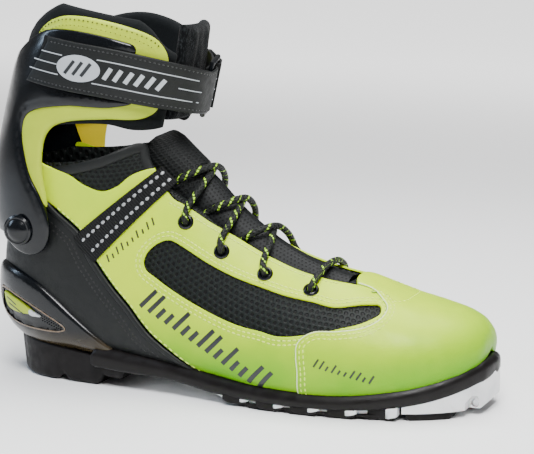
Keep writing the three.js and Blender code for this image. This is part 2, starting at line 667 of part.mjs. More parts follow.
function cuffPad() {
  const tall = SHANK_T.filter((t) => t > 0.45);
  const opening = layer(shank, tall, between(SHANK_A, FLAP_HALF[0] - 0.006, FLAP_HALF[1] + 0.006), [-20, 20]);
  const upper = underLine([[-60, 150], ...curved(PAD_TOP, 20)]);
  const lower = prism([...PAD_BOTTOM, [-60, 240], [80, 240]]);
  return layer(shank, tall, SHANK_A, PAD).intersect(upper).intersect(lower).subtract(opening);
}

// The soft front flap that closes the gap between the two wings of the pad.
function frontFlap() {
  const flap = layer(shank, SHANK_T.filter((t) => t > 0.45), between(SHANK_A, ...FLAP_HALF), [-6, 1.6]);
  return flap.intersect(prism(FLAP_OUTLINE));
}

function cuffFrame() {
  const near = prism(FRAME_OUTLINE, ...halves.lateral);
  const far = prism(innerSide(FRAME_OUTLINE), ...halves.medial);
  const region = near.add(far).intersect(underLine(FRAME_TOP));
  const alongPivot = (radius, y0, y1) =>
    rod(radius, new THREE.Vector3(PIVOT.x, y0, PIVOT.z), new THREE.Vector3(PIVOT.x, y1, PIVOT.z), 24);
  const { lobe, lobeInside, lobeOutside } = RIVET;
  const lobes = alongPivot(lobe, -lobeOutside, -lobeInside).add(alongPivot(lobe, lobeInside, lobeOutside));
  const clear = alongPivot(9.4, -lobeInside, lobeInside).add(alongPivot(9.4, -HALF, -lobeOutside));
  return layer(shank, SHANK_T, SHANK_A, FRAME)
    .intersect(region)
    .subtract(clear.add(alongPivot(9.4, lobeOutside, HALF)))
    .add(lobes)
    .subtract(rivetHoles);
}

function cuffPlate(side) {
  const points = side === "medial" ? innerSide(PLATE_OUTLINE) : PLATE_OUTLINE;
  const region = prism(curved([...points, points[0]], 48), ...halves[side]);
  return layer(shank, SHANK_T, SHANK_A, PLATE).intersect(region);
}

// ---------------------------------------------------------------- strap and ring
// Across the strap, f is 0 on its lower edge and 1 on its upper.
const STRAP_BAR = 0.03; // where the ring's front bar stands, as a share of the girth
const TAB_BAR = 0.105; // where the ring's rear bar stands
const BAR = { radius: 1.5, height: 8 };
const UNDER_BAR = [4.9, 6.1];
const OVER_BAR = [9.9, 11.1];
const CLOSED = [6.5, 7.7];

// Where the strap runs: share of the girth either way from the front ridge, t of its lower edge, t of its
// upper edge.
const STRAP_RUN = [
  [0, 0.838, 1.038],
  [0.15, 0.86, 1.075],
  [0.35, 0.877, 1.105],
  [0.55, 0.868, 1.098],
  [0.85, 0.855, 1.08],
];

function strapT(f, a) {
  const [low, high] = [1, 2].map((k) => smooth(STRAP_RUN, k, Math.min(Math.abs(a), 0.85)));
  return low + f * (high - low);
}

// A stretch of webbing as a solid, from a0 to a1 round the girth; heights may change with a.
function webbing(a0, a1, heights) {
  const across = between([...SHANK_A, -0.04, 0.125].sort((p, q) => p - q), a0, a1);
  const value = (h, a) => (typeof h === "function" ? h(a) : h);
  const rows = (h) => [0, 0.5, 1].map((f) => across.map((a) => shank.point(strapT(f, a), a, value(h, a))));
  return solid(skin(rows(heights[1]), rows(heights[0]), false));
}

const blend = (a, from, to) => THREE.MathUtils.smoothstep(Math.abs(a), from, to);

// The fixed run, from its anchor on the frame to just short of the ring.
function strapUnder() {
  return webbing(-0.66, -0.03, UNDER_BAR);
}

// The closing run: round the ring's front bar and back over the fixed run to a slanted free end.
function strapOver() {
  const share = (a) => (a > -0.04 ? 1 : 1 - blend(a, 0.04, 0.1667));
  const height = (k) => (a) => CLOSED[k] + (OVER_BAR[k] - CLOSED[k]) * share(a);
  const run = webbing(-0.8, 0.056, [height(0), height(1)]);
  const fold = webbing(0.045, 0.056, [UNDER_BAR[0], OVER_BAR[1]]);
  const inner = webbing(0.02, 0.056, UNDER_BAR);
  const ahead = prism([[-10.5, 150], [-10, 173], [8, 198.5], [9, 230], [140, 230], [140, 130]]);
  return run.add(fold).add(inner).intersect(ahead);
}

const barLine = (a) => [-0.09, 1.09].map((f) => shank.point(strapT(f, a), a, BAR.height));
function ring() {
  const [lowFront, highFront] = barLine(STRAP_BAR);
  const [lowRear, highRear] = barLine(TAB_BAR);
  const bars = [[lowFront, highFront], [highFront, highRear], [highRear, lowRear], [lowRear, lowFront]];
  return union(
    bars.map(([from, to]) => {
      const reach = new THREE.Vector3().subVectors(to, from).normalize().multiplyScalar(BAR.radius * 0.7);
      return rod(BAR.radius, from.clone().sub(reach), to.clone().add(reach), 8);
    }),
  );
}

// The tab that holds the ring's rear bar, stitched to the inner side of the cuff.
function ringTab() {
  const round = (k) => (a) => OVER_BAR[k] - 3.6 * blend(a, 0.115, 0.19);
  const inner = webbing(0.08, 0.45, UNDER_BAR);
  const fold = webbing(0.08, 0.09, [UNDER_BAR[0], OVER_BAR[1]]);
  const outer = webbing(0.08, 0.22, [round(0), round(1)]);
  const seam = webbing(0.2, 0.22, [UNDER_BAR[0], 7.4]);
  return inner.add(fold).add(outer).add(seam);
}

// ---------------------------------------------------------------- ankle rivets
// A domed rivet: the cuff turns on its shank, which is fixed in the side wall of the lower boot.
function rivet(sign) {
  const seat = RIVET.lobeOutside + GAP;
  const profile = [
    [0, RIVET.inner],
    [RIVET.shank, RIVET.inner],
    [RIVET.shank, seat],
    [RIVET.head, seat],
    [RIVET.head - 0.3, seat + 2],
    [RIVET.head - 2.2, seat + 3.4],
    [0, seat + 4],
  ];
  return turned(profile, 20, new THREE.Vector3(PIVOT.x, 0, PIVOT.z), new THREE.Vector3(0, sign, 0));
}

// A bush that keeps the cuff off the lower boot and beds on its curved side.
function bush(sign) {
  const profile = [
    [RIVET.hole, RIVET.inner], [RIVET.bush, RIVET.inner], [RIVET.bush, RIVET.lobeInside - GAP],
    [RIVET.hole, RIVET.lobeInside - GAP],
  ];
  const at = new THREE.Vector3(PIVOT.x, 0, PIVOT.z);
  return turned(profile, 20, at, new THREE.Vector3(0, sign, 0)).subtract(soleVolume);
}

// ---------------------------------------------------------------- assembly
const panels = layer(foot, FOOT_T, FOOT_A, PANEL);
const innerVolume = footVolume(OUTER[0]);
const cupVolume = footVolume(OUTER[1]);
const soleVolume = footVolume(PANEL[1] + GAP);

add("bootie_sock", "mesh_fabric", bootieSock());
add("tongue_pad", "mesh_fabric", tonguePad());
add("tongue_facing", "black_synthetic", tongueFacing());
add("toe_cap", "lime", toeCap(panels));
add("counter_wrap", "black_synthetic", counterWrap(panels));
for (const side of ["lateral", "medial"]) {
  const sign = side === "lateral" ? -1 : 1;
  add(`quarter_${side}`, "lime", quarter(panels, side));
  add(`heel_tape_${side}`, "webbing", heelTape(side));
  EYELETS.forEach(([t, a], i) => add(`eyelet_${side}_${i + 1}`, "gloss_black", eyelet(t, sign * a)));
}
add("lace", "lace_cord", lace());
add("footbed", "insole", footbed());
add("rand", "black_rubber", rand(soleVolume));
add("shank_plate", "white_plastic", shankPlate());
add("toe_plate", "white_plastic", toePlate());
add("binding_bar", "steel", bindingBar());
add("heel_tread", "black_rubber", heelTread());
add("forefoot_tread", "black_rubber", forefootTread());
add("toe_tread", "black_rubber", toeTread());
add("heel_cup", "gloss_black", heelCup(cupVolume, innerVolume));
add("badge_lateral", "lime_soft", badge("lateral"));
add("badge_medial", "lime_soft", badge("medial"));

add("cuff_pad", "padding", cuffPad());
add("front_flap", "padding", frontFlap());
add("cuff_frame", "gloss_black", cuffFrame());
add("cuff_plate_lateral", "lime_soft", cuffPlate("lateral"));
add("cuff_plate_medial", "lime_soft", cuffPlate("medial"));
add("strap_under", "webbing", strapUnder());
add("strap_over", "webbing", strapOver());
add("ring", "gloss_black", ring());
add("ring_tab", "webbing", ringTab());
for (const side of ["lateral", "medial"]) {
  const sign = side === "lateral" ? -1 : 1;
  add(`ankle_rivet_${side}`, "gloss_black", rivet(sign));
  add(`ankle_bush_${side}`, "black_synthetic", bush(sign));
}

export default boot;
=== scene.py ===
"""Looks of a cross-country skating boot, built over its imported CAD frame. Lengths in the helpers are
millimetres."""

import math

import bmesh
import bpy
import numpy as np
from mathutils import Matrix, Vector, kdtree
from mathutils.geometry import delaunay_2d_cdt


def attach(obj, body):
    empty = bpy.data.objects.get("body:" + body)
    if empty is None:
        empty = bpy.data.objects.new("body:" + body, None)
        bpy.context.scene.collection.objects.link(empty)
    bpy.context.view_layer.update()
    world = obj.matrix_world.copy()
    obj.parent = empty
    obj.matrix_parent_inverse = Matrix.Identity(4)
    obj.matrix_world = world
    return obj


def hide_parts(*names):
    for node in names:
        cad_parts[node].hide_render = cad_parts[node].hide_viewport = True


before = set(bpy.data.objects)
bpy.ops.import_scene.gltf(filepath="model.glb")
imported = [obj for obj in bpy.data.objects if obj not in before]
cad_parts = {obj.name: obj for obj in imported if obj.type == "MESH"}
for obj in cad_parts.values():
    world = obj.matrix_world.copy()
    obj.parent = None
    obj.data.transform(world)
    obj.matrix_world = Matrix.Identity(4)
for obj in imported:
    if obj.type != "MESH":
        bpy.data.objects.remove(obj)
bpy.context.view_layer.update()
MM = 0.001

# ------------------------------------------------------------------ the two surfaces the boot is laid up on
# t, top x, top z, bottom x, bottom z, half-width, roundness above, roundness below, height of the widest
# point, centre y
FOOT = [
    (0.0, 249.5, 34.5, 249.5, 34.5, 0, 2.1, 2.6, -0.1, 7),
    (0.02, 248.6, 41, 248, 28, 13, 2.1, 2.6, -0.1, 6.9),
    (0.05, 245, 46.5, 243.5, 23, 22, 2.1, 2.9, -0.15, 6.6),
    (0.1, 236, 51.8, 234, 18, 31.5, 2.1, 3.2, -0.2, 6),
    (0.16, 222, 55.8, 221, 14, 39, 2.1, 3.6, -0.25, 4.6),
    (0.24, 202, 60.8, 201, 10.5, 44.5, 2.1, 4, -0.3, 3),
    (0.32, 183, 68, 179, 8.5, 47, 2, 4.4, -0.36, 1),
    (0.4, 164, 73, 155, 8.5, 46.5, 1.9, 4.4, -0.42, -1),
    (0.48, 147, 79.5, 129, 10, 44, 1.8, 4.4, -0.45, -2),
    (0.56, 131, 87.5, 102, 13, 40.5, 1.75, 4.2, -0.42, -2),
    (0.63, 117, 97, 72, 16, 38, 1.75, 4, -0.35, -1.5),
    (0.7, 104, 107.5, 40, 18, 36.5, 1.8, 3.6, -0.25, -1),
    (0.76, 93, 118, 10, 19.5, 36, 1.9, 3.2, -0.2, 0),
    (0.82, 82.5, 127, -18, 22, 35.5, 2, 2.8, -0.1, 0),
    (0.87, 74.5, 134, -37.5, 36, 35, 2, 2.4, -0.05, 0),
    (0.91, 69, 139, -41, 60, 35, 2, 2.2, 0, 0),
    (0.95, 64.5, 143, -36.5, 94, 35.5, 2, 2.1, 0, 0),
    (1.0, 60, 147, -26, 139, 36.5, 2, 2.1, 0, 0),
]
SHANK = [
    (0.0, 58, 62, -41.2, 82, 38.5, 2.2, 2.3, 0, 0),
    (0.15, 59, 78, -41.4, 99, 39, 2.2, 2.3, 0, 0),
    (0.3, 60.5, 95, -40.6, 117, 39.5, 2.2, 2.3, 0, 0),
    (0.45, 62.5, 112, -38.2, 134, 40.2, 2.2, 2.3, 0, 0),
    (0.6, 65.5, 130, -34.4, 151, 40.8, 2.2, 2.3, 0, 0),
    (0.75, 69.5, 148, -30, 168, 41.3, 2.2, 2.3, 0, 0),
    (0.9, 73.5, 166, -25.5, 184, 41.8, 2.2, 2.3, 0, 0),
    (1.05, 77.5, 184, -20, 201, 42, 2.2, 2.3, 0, 0),
    (1.25, 81.5, 207, -12, 224, 41.5, 2.2, 2.3, 0, 0),
]


def hermite(T, V, t):
    """Smooth values of a table, the same cubic interpolation as the CAD."""
    T, V, t = np.asarray(T, float), np.asarray(V, float), np.asarray(t, float)
    gap, slope = np.diff(T), np.diff(V) / np.diff(T)
    m = np.empty_like(V)
    m[1:-1] = (slope[:-1] * gap[1:] + slope[1:] * gap[:-1]) / (T[2:] - T[:-2])
    m[0], m[-1] = 1.5 * slope[0] - 0.5 * m[1], 1.5 * slope[-1] - 0.5 * m[-2]
    i = np.clip(np.searchsorted(T, t, side="right") - 1, 0, len(T) - 2)
    h, s = gap[i], (t - T[i]) / gap[i]
    return (
        (2 * s**3 - 3 * s**2 + 1) * V[i]
        + (s**3 - 2 * s**2 + s) * h * m[i]
        + (3 * s**2 - 2 * s**3) * V[i + 1]
        + (s**3 - s**2) * h * m[i + 1]
    )


class Surface:
    """Sections fanned along t, with a from -1 to 1 round each by girth. Flat patterns use (u, v) in
    millimetres."""

    NT, NA, HALF = 420, 321, 160

    def __init__(self, rows):
        rows = np.array(rows, float)
        self.t = np.linspace(rows[0, 0], rows[-1, 0], self.NT)
        fx, fz, bx, bz, width, above, below, widest, y0 = (hermite(rows[:, 0], rows[:, k], self.t)
            for k in range(1, 10))
        quarter = np.linspace(0, np.pi / 2, 65)
        share = np.abs(np.linspace(-1, 1, self.NA))
        sign = np.sign(np.linspace(-1, 1, self.NA))
        self.P = np.zeros((self.NT, self.NA, 3))
        self.L = np.zeros(self.NT)
        for i in range(self.NT):
            chord = math.hypot(fx[i] - bx[i], fz[i] - bz[i])
            up = np.array([fx[i] - bx[i], fz[i] - bz[i]]) / chord if chord > 1e-6 else np.array([0.0, 1.0])
            half, w = chord / 2, max(width[i], 0)
            waist = widest[i] * half
            s, c = np.clip(np.sin(quarter), 0, 1), np.clip(np.cos(quarter), 0, 1)
            y = np.concatenate([w * s ** (2 / above[i]), w * c[1:] ** (2 / below[i])])
            z = np.concatenate([waist + (half - waist) * c ** (2 / above[i]),
                waist - (half + waist) * s[1:] ** (2 / below[i])])
            run = np.concatenate([[0], np.cumsum(np.hypot(np.diff(y), np.diff(z)))])
            self.L[i] = run[-1]
            yy, zz = np.interp(share * run[-1], run, y), np.interp(share * run[-1], run, z)
            self.P[i, :, 0] = (fx[i] + bx[i]) / 2 + up[0] * zz
            self.P[i, :, 1] = y0[i] + sign * yy
            self.P[i, :, 2] = (fz[i] + bz[i]) / 2 + up[1] * zz
        along = np.gradient(self.P, axis=0)
        ring = np.concatenate([self.P[:, -3:-1], self.P, self.P[:, 1:3]], axis=1)
        around = ring[:, 3:-1] - ring[:, 1:-3]
        n = np.cross(around, along)
        size = np.linalg.norm(n, axis=2, keepdims=True)
        self.N = np.where(size > 1e-9, n / np.maximum(size, 1e-9), np.array([1.0, 0, 0]))
        step = np.linalg.norm(np.diff(self.P, axis=0), axis=2)
        side = [int(self.HALF * (1 - a)) for a in (0.2, 0.35, 0.5)]
        self.u = np.concatenate([[0], np.cumsum(step[:, side].mean(axis=1))])
        self.tree = None

    def _index(self, t, a):
        t, a = np.broadcast_arrays(np.asarray(t, float), np.asarray(a, float))
        a = np.where(a > 1, a - 2, np.where(a < -1, a + 2, a))
        i = np.clip((t - self.t[0]) / (self.t[-1] - self.t[0]) * (self.NT - 1), 0, self.NT - 1.0001)
        j = np.clip((a + 1) * self.HALF, 0, self.NA - 1.0001)
        return i.astype(int), j.astype(int), (i % 1)[..., None], (j % 1)[..., None]

    def _look(self, table, t, a):
        i, j, f, g = self._index(t, a)
        return (table[i, j] * (1 - f) + table[i + 1, j] * f) * (1 - g) + (table[i, j + 1] * (1 - f)
            + table[i + 1, j + 1] * f) * g

    def at(self, t, a, h=0.0):
        n = self._look(self.N, t, a)
        n /= np.maximum(np.linalg.norm(n, axis=-1, keepdims=True), 1e-9)
        return self._look(self.P, t, a) + n * np.asarray(h, float)[..., None]

    def normal(self, t, a):
        n = self._look(self.N, t, a)
        return n / np.maximum(np.linalg.norm(n, axis=-1, keepdims=True), 1e-9)

    def uv(self, t, a):
        """Flat pattern coordinates of (t, a)."""
        t, a = np.asarray(t, float), np.asarray(a, float)
        return np.stack([np.interp(t, self.t, self.u), a * np.interp(t, self.t, self.L)], axis=-1)

    def ta(self, uv):
        uv = np.asarray(uv, float)
        t = np.interp(uv[..., 0], self.u, self.t)
        return t, uv[..., 1] / np.maximum(np.interp(t, self.t, self.L), 1e-6)

    def side(self, points, sign=-1):
        """(u, v) of side-view [x, z] points on the outer side (sign -1) or, mirrored, on the inner side
        (sign 1)."""
        if self.tree is None:
            self.tree = kdtree.KDTree(self.NT * (self.HALF + 1))
            for i in range(self.NT):
                for j in range(self.HALF + 1):
                    x, _, z = self.P[i, j]
                    self.tree.insert((x, z, 0), i * (self.HALF + 1) + j)
            self.tree.balance()
        found = []
        for x, z in points:
            k = self.tree.find((x, z, 0))[1]
            i, j = divmod(k, self.HALF + 1)
            i0, i1, j0, j1 = max(i - 1, 0), min(i + 1, self.NT - 1), max(j - 1, 0), min(j + 1, self.HALF)
            dt, da = (self.P[i1, j] - self.P[i0, j])[[0, 2]] / (i1 - i0), (self.P[i, j1]
                - self.P[i, j0])[[0, 2]] / (j1 - j0)
            miss = np.array([x, z]) - self.P[i, j, [0, 2]]
            m = np.stack([dt, da], axis=1)
            step = np.linalg.solve(m, miss) if abs(np.linalg.det(m)) > 1e-4 else np.zeros(2)
            step = np.clip(step, -1, 1)
            t = self.t[0] + (i + step[0]) / (self.NT - 1) * (self.t[-1] - self.t[0])
            found.append((t, min((j + step[1]) / self.HALF - 1, 0)))
        t, a = np.array(found).T
        return self.uv(t, a * -sign)


foot = Surface(FOOT)
shank = Surface(SHANK)


# ------------------------------------------------------------------ flat patterns
def spline(points, spacing=1.0, closed=False, corners=()):
    """A smooth curve through flat points, resampled evenly; corners lists the points it turns sharply at."""
    P = np.asarray(points, float)
    n = len(P)
    pieces = []
    ends = sorted(set(corners)) if closed else sorted({0, n - 1, *corners})
    if closed and not ends:
        runs = [np.concatenate([P, P[:1]])]
        loop = True
    elif closed:
        runs = [P[[k % n for k in range(a, b + 1)]] for a, b in zip(ends, [*ends[1:], ends[0] + n])]
        loop = False
    else:
        runs = [P[a : b + 1] for a, b in zip(ends[:-1], ends[1:])]
        loop = False
    for run in runs:
        q = np.concatenate([run[-2:-1], run, run[1:2]]) if loop else np.concatenate([2 * run[:1] - run[1:2],
            run, 2 * run[-1:] - run[-2:-1]])
        out = []
        for k in range(1, len(q) - 2):
            p0, p1, p2, p3 = q[k - 1 : k + 3]
            d0, d1, d2 = (max(np.linalg.norm(b - a), 1e-6) ** 0.5 for a, b in ((p0, p1), (p1, p2), (p2, p3)))
            m1 = (p1 - p0) / d0 - (p2 - p0) / (d0 + d1) + (p2 - p1) / d1
            m2 = (p2 - p1) / d1 - (p3 - p1) / (d1 + d2) + (p3 - p2) / d2
            s = np.linspace(0, 1, 25)[:-1, None]
            out.append((2 * s**3 - 3 * s**2 + 1) * p1 + (s**3 - 2 * s**2 + s) * m1 * d1
                + (3 * s**2 - 2 * s**3) * p2 + (s**3 - s**2) * m2 * d1)
        out.append(q[-2:-1])
        fine = np.concatenate(out)
        run_length = np.concatenate([[0], np.cumsum(np.linalg.norm(np.diff(fine, axis=0), axis=1))])
        count = max(2, int(round(run_length[-1] / spacing)))
        s = np.linspace(0, run_length[-1], count + 1)
        pieces.append(np.stack([np.interp(s, run_length, fine[:, k]) for k in range(fine.shape[1])], axis=1))
    line = np.concatenate([p[:-1] for p in pieces] + ([] if closed else [pieces[-1][-1:]]))
    return line


def inside(points, loops):
    """Which flat points lie inside the loops, by the even-odd rule."""
    x, y = points[:, 0], points[:, 1]
    odd = np.zeros(len(points), bool)
    for loop in loops:
        for (x0, y0), (x1, y1) in zip(loop, np.roll(loop, -1, axis=0)):
            if y0 != y1:
                odd ^= ((y0 > y) != (y1 > y)) & (x < (x1 - x0) * (y - y0) / (y1 - y0) + x0)
    return odd


def distance(points, lines, closed=True):
    """Distance from flat points to the nearest of some polylines."""
    best = np.full(len(points), 1e9)
    for line in lines:
        a = np.asarray(line, float)
        b = np.roll(a, -1, axis=0) if closed else a[1:]
        a = a if closed else a[:-1]
        for k in range(0, len(a), 64):
            p, q = a[k : k + 64], b[k : k + 64]
            d = q - p
            s = ((points[:, None] - p) * d).sum(2) / np.maximum((d * d).sum(1), 1e-12)
            near = p + np.clip(s, 0, 1)[..., None] * d
            best = np.minimum(best, np.linalg.norm(points[:, None] - near, axis=2).min(1))
    return best


def offset(line, distance_mm, closed=False):
    """A flat polyline moved to its left."""
    d = np.gradient(line, axis=0) if not closed else np.roll(line, -1, 0) - np.roll(line, 1, 0)
    n = np.stack([-d[:, 1], d[:, 0]], axis=1)
    return line + n / np.maximum(np.linalg.norm(n, axis=1, keepdims=True), 1e-9) * distance_mm


def mirror(uv):
    return np.asarray(uv) * np.array([1, -1])


# ------------------------------------------------------------------ meshes
def make(name, vertices, faces, material, body="boot", uvs=None, smooth=True, sharp=None):
    """A mesh object from millimetre vertices, riding on a CAD body."""
    mesh = bpy.data.meshes.new(name)
    mesh.from_pydata((np.asarray(vertices) * MM).tolist(), [], [list(map(int, f)) for f in faces])
    if uvs is not None:
        layer = mesh.uv_layers.new(name="UVMap")
        loops = np.zeros(len(mesh.loops), int)
        mesh.loops.foreach_get("vertex_index", loops)
        layer.data.foreach_set("uv", np.asarray(uvs, np.float32)[loops].ravel())
    mesh.materials.append(material)
    if smooth:
        mesh.polygons.foreach_set("use_smooth", [True] * len(mesh.polygons))
        if sharp:
            mesh.set_sharp_from_angle(angle=math.radians(sharp))
    mesh.update()
    o = bpy.data.objects.new(name, mesh)
    bpy.context.scene.collection.objects.link(o)
    if body:
        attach(o, body)
    return o


def triangulate(loops, spacing, rings):
    """Flat points and triangles that fill the loops; rings are the distances from the edge that get their
    own points."""
    points, edges = [], []
    for loop in loops:
        first = len(points)
        points += loop.tolist()
        edges += [(first + k, first + (k + 1) % len(loop)) for k in range(len(loop))]
    extra = []
    for loop in loops:
        for r in rings:
            for way in (-r, r):
                extra.append(offset(loop, way, closed=True))
    lo, hi = np.min(points, axis=0), np.max(points, axis=0)
    gx, gy = np.meshgrid(np.arange(lo[0], hi[0], spacing), np.arange(lo[1], hi[1], spacing * 0.87),
        indexing="ij")
    gx = gx + (np.arange(gx.shape[1]) % 2)[None, :] * spacing / 2
    grid = np.stack([gx.ravel(), gy.ravel()], axis=1)
    reach = (rings[-1] if rings else 0) + spacing * 0.45
    grid = grid[inside(grid, loops)]
    grid = grid[distance(grid, loops) > reach]
    keep = []
    for k, ring in enumerate(extra):
        r = rings[(k // 2) % len(rings)]
        ok = inside(ring, loops) & (distance(ring, loops) > r * 0.93)
        keep.append(ring[ok])
    everything = np.concatenate([np.array(points), *keep, grid])
    out = delaunay_2d_cdt([Vector(p) for p in everything], edges, [], 0, 1e-5)
    flat = np.array([tuple(p) for p in out[0]])
    tris = np.array([f for f in out[2] if len(f) == 3])
    middle = flat[tris].mean(axis=1)
    tris = tris[inside(middle, loops)]
    a, b, c = flat[tris[:, 0]], flat[tris[:, 1]], flat[tris[:, 2]]
    area = (b[:, 0] - a[:, 0]) * (c[:, 1] - a[:, 1]) - (b[:, 1] - a[:, 1]) * (c[:, 0] - a[:, 0])
    tris = tris[np.abs(area) > 1e-7]
    area = area[np.abs(area) > 1e-7]
    tris = np.where((area < 0)[:, None], tris[:, ::-1], tris)
    used = np.unique(tris)
    remap = -np.ones(len(flat), int)
    remap[used] = np.arange(len(used))
    return flat[used], remap[tris]


def panel(name, surf, loops, low, high, material, body="boot", edge=1.0, spacing=1.8, relief=None,
        under=0.0, rings=None, sharp=50):
    """A sheet with rounded edges, cut to flat loops and laid on a surface between two heights."""
    loops = [np.asarray(l, float) for l in loops]
    rings = rings or [edge * f for f in (0.12, 0.4, 1.0)]
    flat, tris = triangulate(loops, spacing, rings)
    d = distance(flat, loops)
    q = np.clip(1 - d / edge, 0, 1)
    drop = min(edge, high - low) if under == 0 else min(edge, (high - low) * 0.55)
    top = high - drop * (1 - np.sqrt(np.clip(1 - q * q, 0, 1)))
    if relief is not None:
        top = top + relief(flat, d)
    t, a = surf.ta(flat)
    outer = surf.at(t, a, top)
    bottom = np.full(len(flat), float(low))
    if under:
        qu = np.clip(1 - d / under, 0, 1)
        bottom = low + min(under, (high - low) * 0.45) * (1 - np.sqrt(np.clip(1 - qu * qu, 0, 1)))
    inner = surf.at(t, a, bottom)
    n = len(flat)
    count = {}
    for tri in tris:
        for x, y in ((tri[0], tri[1]), (tri[1], tri[2]), (tri[2], tri[0])):
            count[(x, y)] = count.get((x, y), 0) + 1
    faces = []
    turn = np.cross(outer[tris[0][1]] - outer[tris[0][0]],
        outer[tris[0][2]] - outer[tris[0][0]]) @ surf.normal(*(w[tris[0][0]] for w in (t, a))) > 0
    for tri in tris:
        f = tri if turn else tri[::-1]
        faces.append(tuple(f))
        faces.append(tuple(n + k for k in f[::-1]))
    for (x, y) in count:
        if (y, x) not in count:
            faces.append((x, n + x, n + y, y) if turn else (y, n + y, n + x, x))
    return make(name, np.concatenate([outer, inner]), faces, material, body,
        uvs=np.concatenate([flat, flat]), sharp=sharp)


BLOB = [(math.cos(q), math.sin(q)) for q in (0, 1.0472, 2.0944, 3.1416, 4.1888, 5.236)]


def beads(name, places, along, out, size, material, body="boot"):
    """Many small long lumps, such as stitches: centres, directions, normals, and (half-length, half-
    width, half-height)."""
    places, along, out = (np.asarray(v, float) for v in (places, along, out))
    along = along / np.maximum(np.linalg.norm(along, axis=1, keepdims=True), 1e-9)
    out = out - along * (out * along).sum(1, keepdims=True)
    out = out / np.maximum(np.linalg.norm(out, axis=1, keepdims=True), 1e-9)
    across = np.cross(out, along)
    shape = [(-1, 0, 0)]
    for x, r in ((-0.72, 0.75), (0, 1), (0.72, 0.75)):
        shape += [(x, r * c, r * s) for c, s in BLOB]
    shape.append((1, 0, 0))
    shape = np.array(shape)
    faces = [(0, 1 + (k + 1) % 6, 1 + k) for k in range(6)]
    for ring in (1, 7):
        faces += [(ring + k, ring + (k + 1) % 6, ring + 6 + (k + 1) % 6, ring + 6 + k) for k in range(6)]
    faces += [(19, 13 + k, 13 + (k + 1) % 6) for k in range(6)]
    size = np.broadcast_to(np.asarray(size, float), (len(places), 3))
    vertices = (
        places[:, None]
        + shape[None, :, 0:1] * size[:, None, 0:1] * along[:, None]
        + shape[None, :, 1:2] * size[:, None, 1:2] * across[:, None]
        + shape[None, :, 2:3] * size[:, None, 2:3] * out[:, None]
    )
    all_faces = [tuple(20 * k + i for i in f) for k in range(len(places)) for f in faces]
    return make(name, vertices.reshape(-1, 3), all_faces, material, body)


def stitches(name, surf, lines, h, material, body="boot", pitch=2.9, size=(1.05, 0.33, 0.3)):
    """Rows of stitches along flat polylines; along the lime ones lies a darker lime strip, painted groove
    shade.
    """
    if material is lime_thread:
        size = tuple(1.2 * v for v in size)
        # painted shade: a darker lime strip under each row of lime stitches stands for the shade of a sewn
        # groove
        for k, line in enumerate(lines):
            ribbon(f"{name}_groove_{k}", surf, line, 1.5, h - 0.13, 0.1, lime_groove_shade, body)
    places, along, out = [], [], []
    for line in lines:
        line = np.asarray(line, float)
        run = np.concatenate([[0], np.cumsum(np.linalg.norm(np.diff(line, axis=0), axis=1))])
        s = np.arange(pitch / 2, run[-1], pitch)
        for shift, target in ((0, places), (0.3, along)):
            flat = np.stack([np.interp(s + shift, run, line[:, k]) for k in (0, 1)], axis=1)
            target.append(surf.at(*surf.ta(flat), h))
            if shift == 0:
                out.append(surf.normal(*surf.ta(flat)))
    places, along, out = map(np.concatenate, (places, along, out))
    return beads(name, places, along - places, out, size, material, body)


def tube(name, path, radius, material, body="boot", sides=12, closed=False, flat=1.0, caps=True):
    """A round cord along millimetre points, with the length run so far and the angle as its UVs."""
    P = np.asarray(path, float)
    d = (np.roll(P, -1, 0) - np.roll(P, 1, 0)) if closed else np.gradient(P, axis=0)
    d /= np.maximum(np.linalg.norm(d, axis=1, keepdims=True), 1e-9)
    n = np.cross(d[0], [0, 0, 1.0] if abs(d[0][2]) < 0.9 else [1.0, 0, 0])
    frames = []
    for k in range(len(P)):
        n = n - d[k] * (n @ d[k])
        n /= np.linalg.norm(n)
        frames.append(n.copy())
    N = np.array(frames)
    B = np.cross(d, N)
    q = np.linspace(0, 2 * np.pi, sides + 1)[:-1]
    r = np.broadcast_to(np.asarray(radius, float), (len(P),))[:, None, None]
    V = P[:, None] + r * (np.cos(q)[None, :, None] * N[:, None] + flat * np.sin(q)[None, :, None]
        * B[:, None])
    run = np.concatenate([[0], np.cumsum(np.linalg.norm(np.diff(P, axis=0), axis=1))])
    uv = np.stack([np.repeat(run, sides), np.tile(q / (2 * np.pi), len(P))], axis=1)
    m = len(P)
    faces = []
    for i in range(m if closed else m - 1):
        for j in range(sides):
            a, b = i * sides + j, i * sides + (j + 1) % sides
            c, e = ((i + 1) % m) * sides + (j + 1) % sides, ((i + 1) % m) * sides + j
            faces.append((a, b, c, e))
    if not closed and caps:
        faces.append(tuple(range(sides))[::-1])
        faces.append(tuple((m - 1) * sides + k for k in range(sides)))
    return make(name, V.reshape(-1, 3), faces, material, body, uvs=uv, sharp=60)


